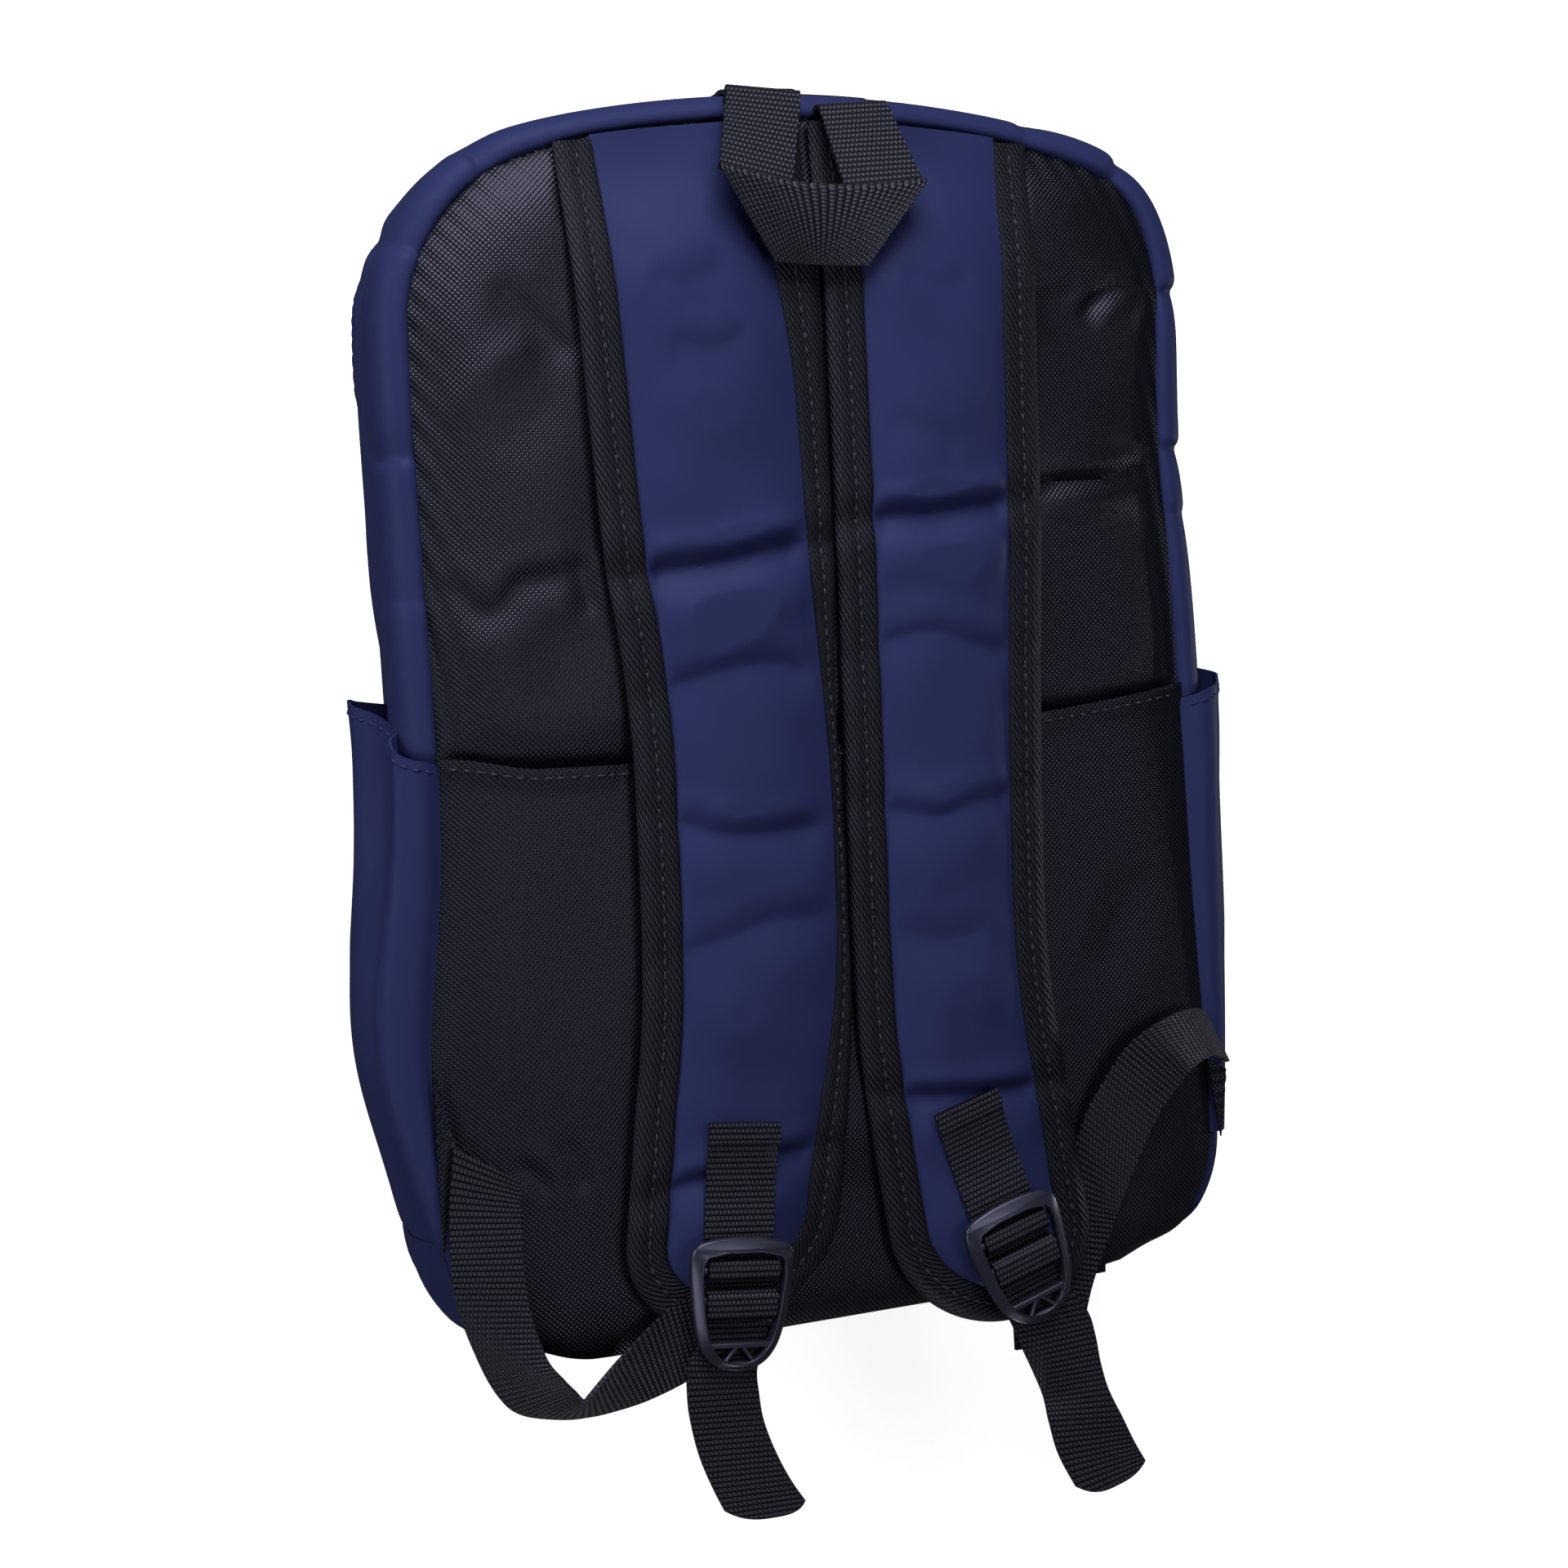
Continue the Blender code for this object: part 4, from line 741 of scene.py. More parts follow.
# %% Back panel
PANEL_LEVEL = 0.1318
STRAP_FLOOR, STRAP_SEAM = 0.1401, 0.1332
STRAP_TOP, STRAP_DIP = 0.2040, 0.1477
WRINKLE_LEAN = 0.25
WRINKLES = [
    ([(-0.144, 0.0535), (-0.1305, 0.0551), (-0.1265, 0.0511), (-0.1213, 0.0470), (-0.1146, 0.0493),
      (-0.1087, 0.0554), (-0.0997, 0.0577), (-0.0830, 0.0595)], 0.0016, 0.0042),
    ([(-0.0862, 0.0660), (-0.0862, 0.0595), (-0.0856, 0.0519), (-0.0840, 0.0430)], 0.0013, 0.0034),
    ([(-0.132, 0.106), (-0.124, 0.118), (-0.110, 0.130), (-0.094, 0.136)], -0.0009, 0.0070),
    ([(-0.112, 0.158), (-0.098, 0.142), (-0.082, 0.128)], 0.0009, 0.0060),
    ([(0.0770, 0.0790), (0.0936, 0.0813), (0.1068, 0.0819), (0.1185, 0.0832), (0.1340, 0.0855)],
     0.0026, 0.0030),
    ([(0.1030, 0.1385), (0.1124, 0.1461), (0.1175, 0.1495), (0.1260, 0.1514), (0.1390, 0.1522)],
     0.0020, 0.0032),
    ([(0.0780, 0.1420), (0.0977, 0.1475), (0.1111, 0.1522), (0.1290, 0.1590)], 0.0012, 0.0065),
]


def strap_floor(y):
    """The height that the straps lie on. It sinks towards the seam at the top."""
    return STRAP_FLOOR + (STRAP_SEAM - STRAP_FLOOR) * smooth_step(STRAP_DIP, STRAP_TOP, y)


def hem_line(x):
    """The upper edge of the slip pocket that lies on the panel's lower half."""
    return -0.0068 + 0.0062 * ((x + 0.055) / 0.14) ** 2 + 0.004 * smooth_step(-0.110, -0.142, x)


def strap_bed(x, y):
    """How far the padding rises between the side columns, where the straps lie on it."""
    return 0.0026 * smooth_step(0.0720, 0.0600, np.abs(x)) * smooth_step(-0.165, -0.140, y)


def panel_height(x, y, inset):
    crown = 1.0 - np.exp(-(inset / 0.015) ** 1.5)
    upper = smooth_step(-0.020, 0.012, y)
    wrinkles = 0.0009 * np.sin(x * 95 + 1.3) * np.sin(y * 62 - 0.4) + creases(x, y, WRINKLES, WRINKLE_LEAN)
    height = PANEL_LEVEL + crown * (0.0006 + 0.0048 * upper) + upper * crown * (wrinkles + strap_bed(x, y))
    height -= 0.0024 * smooth_step(0.0030, 0.0002, y - hem_line(x)) * smooth_step(0.0, 0.008, inset)
    gather = np.exp(-inset / 0.007) * np.sin(np.hypot(x + 0.3, y) * 900) * 0.00035 * upper
    limit = strap_floor(y) - 0.0005 + 0.02 * smooth_step(0.0840, 0.1000, np.abs(x))
    return np.minimum(height + gather, limit)


def spine(run):
    """The middle line, where rings that are laid from the outline come together."""
    return np.column_stack((np.zeros(len(run)), np.clip(outline_at(run)[:, 1], -0.090, 0.090)))


def panel_place(u, v):
    run = GIRTH * (1.0 - u)
    rim, _ = edge(run, seam_outset(run) - 0.0003)
    flat = rim + (spine(run) - rim) * (v ** 1.35)[:, None]
    return np.column_stack((flat, panel_height(*flat.T, np.hypot(*(rim - flat).T))))


panel = lay_sheet("back_panel_cloth", 540, 80, panel_place)
weld(panel)
thicken(panel, 0.0040)
dress(panel, oxford, "shell", ["back_panel", "back_foam"])

# %% [markdown]
# ## Stitches
#
# Every hem and binding is held by a row of lockstitch. Each stitch shows as a short thread that dives
# into the cloth at both ends. Real ones are so many that they are drawn here as six-sided rods with
# drawn-in ends, twenty faces each, all rows from one helper.

# %% Stitches
STITCH_PITCH, STITCH_LENGTH, STITCH_WIDTH = 0.0046, 0.0036, 0.0009
STITCH_SIDES = 6
STITCH_RINGS = [(-0.50, 0.30, -0.55), (-0.28, 1.0, 0.0), (0.28, 1.0, 0.0), (0.50, 0.30, -0.55)]
SURFACE_STEP = 0.002

stitch_turns = TAU * np.arange(STITCH_SIDES) / STITCH_SIDES
STITCH_CORNERS = [
    (reach * STITCH_LENGTH, STITCH_WIDTH * 0.5 * fat * math.cos(turn),
     STITCH_WIDTH * (sink + 0.42 * fat * math.sin(turn)))
    for reach, fat, sink in STITCH_RINGS for turn in stitch_turns
]
STITCH_FACES = [tuple(reversed(range(STITCH_SIDES))), tuple(range(len(STITCH_CORNERS)))[-STITCH_SIDES:]]
for first in range(0, len(STITCH_CORNERS) - STITCH_SIDES, STITCH_SIDES):
    for k in range(STITCH_SIDES):
        a, b = first + k, first + (k + 1) % STITCH_SIDES
        STITCH_FACES.append((a, b, b + STITCH_SIDES, a + STITCH_SIDES))


def on_surface(place, u, v, lift):
    """Points and outward normals of a laid sheet, lifted off it."""
    across = place(u + SURFACE_STEP, v) - place(u - SURFACE_STEP, v)
    along = place(u, v + SURFACE_STEP) - place(u, v - SURFACE_STEP)
    out = unit(np.cross(across, along))
    return place(u, v) + out * lift, out


def scatter(name, corners, faces, centres, axes):
    """One object with a copy of a small solid at every centre. Its corners are along three axes."""
    copies = centres[:, None] + np.einsum("ka,anc->nkc", np.array(corners), np.stack(axes))
    firsts = range(0, len(centres) * len(corners), len(corners))
    mesh = bpy.data.meshes.new(name)
    mesh.from_pydata(copies.reshape(-1, 3).tolist(), [],
                     [tuple(first + i for i in face) for first in firsts for face in faces])
    made = bpy.data.objects.new(name, mesh)
    bpy.context.collection.objects.link(made)
    weld(made, outwards=True)
    return made


def stitch_row(name, path, ups):
    """A row of stitches along a path, each lying along it."""
    steps = distances(path)
    marks = np.arange(STITCH_PITCH / 2, steps[-1], STITCH_PITCH)
    ahead = read_off(path, steps, marks + STITCH_PITCH / 4)
    behind = read_off(path, steps, marks - STITCH_PITCH / 4)
    along = unit(ahead - behind)
    side = unit(np.cross(along, read_off(ups, steps, marks)))
    axes = along, side, np.cross(side, along)
    return scatter(name, STITCH_CORNERS, STITCH_FACES, read_off(path, steps, marks), axes)


print(len(STITCH_FACES), "faces in a stitch")

# %% [markdown]
# ## Slip pocket on the back
#
# A second layer of oxford cloth covers the lower half of the back as a slip pocket. It is sewn in at
# the sides and the base and open along its hem, which dips in the middle. The sheet is laid in rows
# from the base up to the hem, close together at the base where the corners turn.

# %% Slip pocket on the back
POCKET_CLOTH = 0.0010
SLIP_LEVEL, SLIP_CROWN, SLIP_LIMIT = 0.1328, 0.0042, 0.1372
SLIP_FOLDS = [
    ([(-0.1085, -0.130), (-0.1035, -0.139), (-0.1010, -0.152)], 0.0013, 0.0030),
    ([(-0.126, -0.137), (-0.118, -0.142), (-0.112, -0.150)], 0.0010, 0.0028),
    ([(0.128, -0.060), (0.110, -0.075), (0.098, -0.100)], 0.0005, 0.0090),
]
rim_run = np.linspace(0.0962, 0.46, 400)
left_rim, _ = edge(rim_run, seam_outset(rim_run))
right_rim, _ = edge(GIRTH - rim_run, seam_outset(GIRTH - rim_run))
POCKET_BASE = left_rim[0, 1]


def slip_pocket_place(u, v):
    across = HALF_WIDTH * (2 * u - 1)
    y = POCKET_BASE + (hem_line(across) - POCKET_BASE) * np.sign(v) * np.abs(v) ** 1.6
    left = np.interp(y, left_rim[:, 1], left_rim[:, 0])
    right = np.interp(y, right_rim[:, 1], right_rim[:, 0])
    x = left + (right - left) * u
    from_base = (y - POCKET_BASE) * 1.4 + 0.001
    inset = np.maximum(np.minimum(np.minimum(x - left, right - x), from_base), 0.0)
    dome = 1.0 - np.exp(-(inset / 0.010) ** 1.2)
    folds = creases(x, y, SLIP_FOLDS) + 0.0003 * np.sin(x * 120 + 0.8) * np.cos(y * 45)
    height = np.minimum(SLIP_LEVEL + (SLIP_CROWN + folds) * dome, SLIP_LIMIT) + strap_bed(x, y) * dome
    hem = smooth_step(0.0045, 0.0036, hem_line(x) - y) * (np.abs(x) > 0.08)
    return np.column_stack((x, y, height + 0.0009 * hem))


slip_pocket = lay_sheet("slip_pocket_cloth", 110, 90, slip_pocket_place)
thicken(slip_pocket, POCKET_CLOTH)
dress(slip_pocket, oxford, "shell", ["back_pocket"])

hem_u = np.linspace(0.01, 0.99, 200)
path, ups = on_surface(slip_pocket_place, hem_u, np.full(200, 0.9895), 0.0002)
hem_stitches = stitch_row("slip_pocket_hem_stitches", path, ups)
dress(hem_stitches, black_thread, "shell")

# %% [markdown]
# ## Side pockets
#
# The two side pockets are loose navy panels, caught in the back seam, the base seam and the front
# seam, and open at the top. The cloth is wider than the bag's side, so the hem stands away in a
# pleat. Each sheet runs from a foot that hugs the bag up to a hem with its own gaping section, and
# the hem is higher at the outer rim than at the back seam.

# %% Side pockets
POCKET_FOOT = -0.1630
FOOT = [
    (-0.0062, 0.1322), (-0.0034, 0.1334), (-0.0006, 0.1326), (0.0012, 0.1300), (0.0018, 0.1262),
    (0.0020, 0.1220), (0.0020, 0.1165), (0.0020, 0.1095), (0.0019, 0.1015), (0.0018, 0.0925),
    (0.0015, 0.0825), (0.0010, 0.0740), (0.0004, 0.0662),
]
SIDE_POCKETS = {
    "left": {
        "gape": 0.55, "belly": 0.0062, "hem_u": 0.980,
        "hem": [
            (-0.0066, 0.1330), (-0.0020, 0.1362), (0.0035, 0.1366), (0.0085, 0.1345), (0.0092, 0.1290),
            (0.0050, 0.1235), (0.0042, 0.1170), (0.0090, 0.1090), (0.0140, 0.1000), (0.0162, 0.0900),
            (0.0140, 0.0795), (0.0075, 0.0715), (0.0004, 0.0662),
        ],
        "hem_y": [
            -0.0020, -0.0005, 0.0010, 0.0040, 0.0075, 0.0095, 0.0110, 0.0150, 0.0185, 0.0205, 0.0195,
            0.0180, 0.0170,
        ],
    },
    "right": {
        "gape": 1.0, "belly": 0.0022, "hem_u": 0.020,
        "hem": [
            (-0.0066, 0.1330), (-0.0010, 0.1364), (0.0055, 0.1360), (0.0110, 0.1320), (0.0150, 0.1255),
            (0.0172, 0.1180), (0.0172, 0.1100), (0.0155, 0.1020), (0.0130, 0.0940), (0.0100, 0.0860),
            (0.0070, 0.0780), (0.0035, 0.0710), (0.0004, 0.0662),
        ],
        "hem_y": [
            0.0000, 0.0015, 0.0035, 0.0050, 0.0065, 0.0080, 0.0095, 0.0105, 0.0110, 0.0110, 0.0110,
            0.0110, 0.0110,
        ],
    },
}
POCKET_FOLDS = [
    ([(-0.004, 0.128), (-0.050, 0.124), (-0.100, 0.120)], 0.0012, 0.0036),
    ([(0.006, 0.112), (-0.040, 0.106), (-0.080, 0.098)], 0.0014, 0.0050),
]


def side_pocket_place(side):
    pocket = SIDE_POCKETS[side]
    hem_y = np.reshape(pocket["hem_y"], (-1, 1))

    def place(u, v):
        up = u if side == "left" else 1.0 - u
        share = np.clip(up, 0.0, 1.0)
        loose = np.sin(np.pi * np.clip(v, 0.0, 1.0))
        y = POCKET_FOOT + (curve(hem_y, v)[:, 0] - POCKET_FOOT) * up
        gape = share[:, None] ** pocket["gape"]
        outset, height = (curve(FOOT, v) + (curve(pocket["hem"], v) - curve(FOOT, v)) * gape).T
        belly = pocket["belly"] * np.sin(np.pi * share) ** 2 * loose
        fold = creases(y, height, POCKET_FOLDS) + 0.0008 * np.sin(height * 330 + y * 22) * loose
        run = SIDE_START + y - SIDE_FOOT
        run = run if side == "left" else GIRTH - run
        flat, _ = edge(run, outset + belly + fold - taper(run, height))
        return np.column_stack((flat, height))
    return place


for side, pocket in SIDE_POCKETS.items():
    place = side_pocket_place(side)
    cloth = lay_sheet(f"{side}_side_pocket_cloth", 90, 90, place, cut_flat(0.18, 0.09))
    thicken(cloth, POCKET_CLOTH)
    dress(cloth, navy_cloth, "shell", [f"{side}_side_pocket"])
    path, ups = on_surface(place, np.full(120, pocket["hem_u"]), np.linspace(0.04, 0.97, 120), 0.0001)
    row = stitch_row(f"{side}_side_pocket_hem_stitches", path, ups)
    dress(row, navy_thread, "shell")

# %% [markdown]
# ## Shoulder straps
#
# Each strap is one padded length of navy cloth over foam, sewn into the top seam and rounded at its
# end. Its section is a ring: a flat underside and a crowned top. The rings run from the end up to
# the seam, and valleys across them are the creases that use has left in the foam.

# %% Shoulder straps
STRAP_HALF, STRAP_END = 0.039, 0.036
TAPE = 0.0135
END_SHARE = 0.10
TOP_SHARE = 0.72
PAD_EDGE, PAD_LIMIT = 0.0036, 0.0095
STRAP_LEAN = 0.35
STRAPS = {
    "left": {
        "route": [(-0.0425, 0.2060), (-0.0415, 0.0600), (-0.0405, -0.0700), (-0.0445, -0.1300),
                  (-0.0560, -0.2030)],
        "fold": 0.0580,
        "creases": [
            ([(-0.078, 0.0560), (-0.060, 0.0575), (-0.040, 0.0590), (-0.022, 0.0625), (-0.002, 0.0640)],
             0.0046, 0.0056),
            ([(-0.074, 0.0150), (-0.058, 0.0190), (-0.042, 0.0225), (-0.024, 0.0235), (-0.004, 0.0160)],
             0.0018, 0.0062),
            ([(-0.074, -0.0235), (-0.060, -0.0280), (-0.048, -0.0325), (-0.029, -0.0340),
              (-0.004, -0.0325)], 0.0022, 0.0056),
            ([(-0.074, -0.0740), (-0.050, -0.0690), (-0.030, -0.0640), (-0.004, -0.0660)], 0.0013, 0.0065),
            ([(-0.090, -0.1550), (-0.064, -0.1500), (-0.033, -0.1446), (-0.012, -0.1450)], 0.0028, 0.0044),
            ([(-0.062, 0.1560), (-0.048, 0.1520), (-0.030, 0.1600)], 0.0009, 0.0075),
            ([(-0.056, 0.1350), (-0.040, 0.1300), (-0.024, 0.1380)], 0.0010, 0.0060),
        ],
        "waist": [0.0, 0.0005, -0.0025, -0.0047, -0.0040, 0.0005, 0.0025, 0.0055],
    },
    "right": {
        "route": [(0.0435, 0.2060), (0.0418, 0.0700), (0.0385, -0.0800), (0.0408, -0.1350),
                  (0.0505, -0.2175)],
        "fold": 0.0730,
        "creases": [
            ([(0.002, 0.0705), (0.018, 0.0718), (0.040, 0.0722), (0.058, 0.0742), (0.082, 0.0760)],
             0.0044, 0.0050),
            ([(0.006, 0.0240), (0.016, 0.0275), (0.034, 0.0306), (0.052, 0.0250), (0.072, 0.0200)],
             0.0017, 0.0060),
            ([(0.004, -0.0270), (0.016, -0.0300), (0.033, -0.0336), (0.048, -0.0300), (0.074, -0.0275)],
             0.0020, 0.0056),
            ([(0.012, -0.0700), (0.030, -0.0780), (0.052, -0.0740)], 0.0008, 0.0070),
            ([(0.004, -0.1290), (0.020, -0.1315), (0.044, -0.1330), (0.076, -0.1335)], 0.0030, 0.0044),
            ([(0.022, 0.1060), (0.036, 0.1000), (0.052, 0.0930)], 0.0007, 0.0065),
            ([(0.030, 0.1560), (0.046, 0.1500), (0.060, 0.1540)], 0.0008, 0.0070),
        ],
        "waist": [0.0, 0.0, -0.0030, -0.0020, -0.0010, 0.0008, 0.0018, 0.0048],
    },
}
WAIST_Y = [-0.170, -0.130, -0.080, -0.005, 0.022, 0.064, 0.131, 0.205]
COVER_Y = [-0.155, -0.135, -0.080, -0.016, 0.018, 0.057, 0.125, 0.157, 0.185]
COVER = [0.0, 0.18, 0.80, 1.00, 0.90, 0.76, 0.66, 0.26, 0.0]
MEET_Y = [-0.005, 0.030, 0.055, 0.110, 0.205]
MEET = [0.0, 0.0015, 0.0042, 0.0048, 0.0048]
for strap in STRAPS.values():
    strap["line"] = curve(strap["route"], np.linspace(1.0, 0.0, 300))
    strap["turn"] = strap["route"][-1][1] + STRAP_END
    strap["turn_x"] = np.interp(strap["turn"], strap["line"][:, 1], strap["line"][:, 0])
    strap["lean"] = strap["route"][-1][0] - strap["turn_x"]


def seam_top(x):
    """Where the straps end, along the arched seam."""
    return ARCH_Y + np.sqrt(ARCH_RADIUS ** 2 - x ** 2) - 0.0056


def eased(y, places, values):
    """A smoothed run of straight lines through values at places along the bag."""
    return np.mean([np.interp(y + shift, places, values) for shift in np.linspace(-0.012, 0.012, 7)], axis=0)


def covered(side, y):
    """How much of the left strap's inner binding the right strap hides, so that less of it is drawn."""
    return eased(y, COVER_Y, COVER) if side == "left" else np.zeros(np.shape(y))


def meeting(side, y):
    """How far the left strap's inner edge comes out to meet the right strap, above the fold."""
    return eased(y, MEET_Y, MEET) if side == "left" else np.zeros(np.shape(y))


def strap_point(side, across, share, inset):
    """A point (x, y) of a strap: across from -1 to 1, share 0 at its end and 1 at the seam."""
    strap = STRAPS[side]
    line_x, line_y = strap["line"].T
    half = STRAP_HALF - inset
    at_end = share < END_SHARE
    angle = np.clip(share / END_SHARE, 0.0, 1.0) * np.pi / 2
    climb = np.clip((share - END_SHARE) / (1.0 - END_SHARE), 0.0, 1.0)
    guess = np.interp(strap["turn"] + (STRAP_TOP - strap["turn"]) * climb, line_y, line_x)
    y = strap["turn"] + (seam_top(guess + across * half) - strap["turn"]) * climb
    y = np.where(at_end, strap["turn"] - (STRAP_END - inset) * np.cos(angle), y)
    middle = np.where(at_end, strap["turn_x"] + strap["lean"] * np.cos(angle), np.interp(y, line_y, line_x))
    wide = half * np.where(at_end, np.sin(angle), 1.0)
    wide = wide + (across > 0) * np.where(inset > 0.005, 0.0100 * covered(side, y), meeting(side, y))
    wide = wide + (across < 0 if side == "left" else across > 0) * eased(y, WAIST_Y, strap["waist"])
    return middle + across * wide, y


def pad_place(side):
    def place(u, v):
        top = u < TOP_SHARE
        under = (u - TOP_SHARE) / (1.0 - TOP_SHARE)
        across = np.where(top, -1.0 + 2.0 * u / TOP_SHARE, 1.0 - 2.0 * under)
        x, y = strap_point(side, across, v, TAPE - 0.0012)
        thin = smooth_step(STRAP_TOP, STRAP_DIP, y)
        full = 1.0 - np.abs(across) ** 2.6
        height = PAD_EDGE + (0.0046 + 0.0042 * thin - PAD_EDGE) * full
        folds = creases(x, y, STRAPS[side]["creases"], STRAP_LEAN)
        height = height + folds * np.minimum(1.0, full * 2.2) * (0.4 + 0.6 * thin)
        ripple = 0.00025 * np.sin(y * 210 + x * 60) + 0.0005 * np.sin(y * 95 - x * 70 + 1.0)
        height = np.minimum(height + ripple * full, PAD_LIMIT) * np.sqrt(np.clip(v / 0.02, 0.0, 1.0))
        return np.column_stack((x, y, strap_floor(y) + 0.0003 + np.where(top, height, 0.0)))
    return place


def fold_piece(piece):
    """Bake a piece's place into its mesh."""
    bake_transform(piece)


for side in STRAPS:
    pad = lay_sheet(f"{side}_strap_cloth", 72, 320, pad_place(side), cut_flat(0.12, 0.42))
    weld(pad, outwards=True)
    dress(pad, navy_cloth, None, [f"{side}_strap_upper", f"{side}_strap_pad"])
    fold_piece(pad)

# %% [markdown]
# ## Strap binding
#
# A folded twill tape is sewn over each strap's raw edge. It runs down one side, round the end and up
# the other, so it is one ring-shaped section pushed along the strap's edge. A row of stitches
# presses a shallow valley near the middle of the tape.

# %% Strap binding
TAPE_SECTION = [
    (1.00, 0.0036), (1.01, 0.0048), (0.94, 0.0054), (0.80, 0.0055), (0.66, 0.0053), (0.54, 0.0050),
    (0.42, 0.0052), (0.28, 0.0052), (0.14, 0.0046), (0.04, 0.0036), (0.00, 0.0022), (0.05, 0.0008),
    (0.16, 0.0002), (0.60, 0.0001), (0.97, 0.0001), (1.00, 0.0036),
]
STITCH_PLACE = 5.0 / (len(TAPE_SECTION) - 1)
CREASES_IN_TAPE = 5


def tape_edge(side, share):
    """The strap's outer edge, from the top of its left side round the end to the top of its right."""
    left = share < 0.5
    along = np.clip(np.where(left, 1.0 - 2.0 * share, 2.0 * share - 1.0), 0.0, 1.0)
    return np.column_stack(strap_point(side, np.where(left, -1.0, 1.0), along, 0.0))


def tape_place(side):
    line = tape_edge(side, np.linspace(0.0, 1.0, 1200))
    reach = distances(line) + np.linspace(0.0, 1e-7, len(line))

    def place(u, v):
        run = v * reach[-1]
        along = unit(read_off(line, reach, run + 0.004) - read_off(line, reach, run - 0.004))
        inward = np.column_stack((-along[:, 1], along[:, 0]))
        rim = read_off(line, reach, run)
        inner = v > 0.5
        width = TAPE * (1.0 - 0.76 * covered(side, rim[:, 1]) * inner) + meeting(side, rim[:, 1]) * inner
        depth, height = curve(TAPE_SECTION, u).T
        x, y = (rim + inward * (depth * width)[:, None]).T
        thin = 0.70 + 0.30 * smooth_step(STRAP_TOP + 0.006, STRAP_DIP, y)
        dents = np.zeros(len(u))
        for bend, deep, wide in STRAPS[side]["creases"][:CREASES_IN_TAPE]:
            (x0, y0), (x1, y1) = bend[0], bend[-1]
            longer = [(x0 - 0.03, y0), *bend, (x1 + 0.03, y1)]
            dents += 0.35 * crease(x, y, longer, deep, wide)
        top = np.clip(height / 0.0045, 0.0, 1.0)
        return np.column_stack((x, y, strap_floor(y) + 0.0002 + height * thin + dents * top))
    return place, reach[-1]


for side in STRAPS:
    place, length = tape_place(side)
    tape = lay_sheet(f"{side}_strap_tape", 30, 420, place, cut_flat(0.030, length))
    weld(tape, outwards=True)
    dress(tape, twill, None,
          [f"{side}_strap_upper_left_binding", f"{side}_strap_upper_right_binding", f"{side}_strap_binding"])
    fold_piece(tape)
    path, ups = on_surface(place, np.full(500, STITCH_PLACE), np.linspace(0.004, 0.996, 500), 0.0002)
    row = stitch_row(f"{side}_strap_tape_stitches", path, np.abs(ups))
    dress(row, black_thread)
    fold_piece(row)

# %% [markdown]
# ## Webbing
#
# The adjusting webbing is 25 mm wide and 1.5 mm thick. Webbing can't bend in its own plane, so it
# twists where it goes round a bend. It is therefore laid between two rails, one for each of its edges,
# and then thickened both ways. Its rows are spaced evenly and its UV map runs in metres, so the ribs
# keep their real spacing. Through a buckle the rails follow the path of the webbing over the bars.

# %% Webbing
WEBBING = 0.025
WEBBING_THICK = 0.0015


def lay_webbing(name, rails, rows, thickness=WEBBING_THICK, rounded=0.0):
    """Webbing between two rails, with its last corners rounded off by a length."""
    rails = np.asarray(rails, float)
    shares = np.linspace(0.0, 1.0, 500)
    reach = distances((curve(rails[:, :3], shares) + curve(rails[:, 3:], shares)) / 2)

    def along(u, v):
        return v * reach[-1] - rounded * np.abs(2 * u - 1) ** 3 * smooth_step(0.75, 1.0, v)

    def place(u, v):
        share = np.interp(along(u, v), reach, shares)
        first, second = curve(rails[:, :3], share), curve(rails[:, 3:], share)
        return first + (second - first) * u[:, None]

    strip = lay_sheet(name, 16, rows, place, lambda u, v: np.column_stack((u * WEBBING, along(u, v))))
    thicken(strip, thickness, 0.0)
    return strip


def join(pieces, name):
    bpy.ops.object.select_all(action="DESELECT")
    for piece in pieces:
        piece.select_set(True)
    bpy.context.view_layer.objects.active = pieces[0]
    bpy.ops.object.join()
    pieces[0].name = pieces[0].data.name = name
    return pieces[0]


BUCKLES = {
    "left": {"at": (-0.0545, -0.1915), "lean": -7.0},
    "right": {"at": (0.0525, -0.1930), "lean": 16.5},
}
BUCKLE_Z = 0.1540
ANCHOR_PATH = [
    (0.0610, -0.0034), (0.0560, -0.0031), (0.0515, -0.0034), (0.0450, -0.0041), (0.0360, -0.0042),
    (0.0290, -0.0036),
    (0.0235, -0.0031), (0.0200, -0.0031), (0.0161, -0.0021), (0.0149, 0.0008), (0.0141, 0.0034),
    (0.0115, 0.0038),
    (0.0089, 0.0034), (0.0083, 0.0010), (0.0087, -0.0006),
]
HEM_PATH = [(v, -0.0019) for v in (0.0612, 0.0590, 0.0570, 0.0545)]
TAIL_PATH = [
    (0.0061, -0.0021), (0.0045, 0.0), (0.0038, 0.0031), (0.0020, 0.0038), (-0.0028, 0.0038),
    (-0.0046, 0.0031),
    (-0.0053, 0.0), (-0.0077, -0.0014), (-0.0137, -0.0016),
]
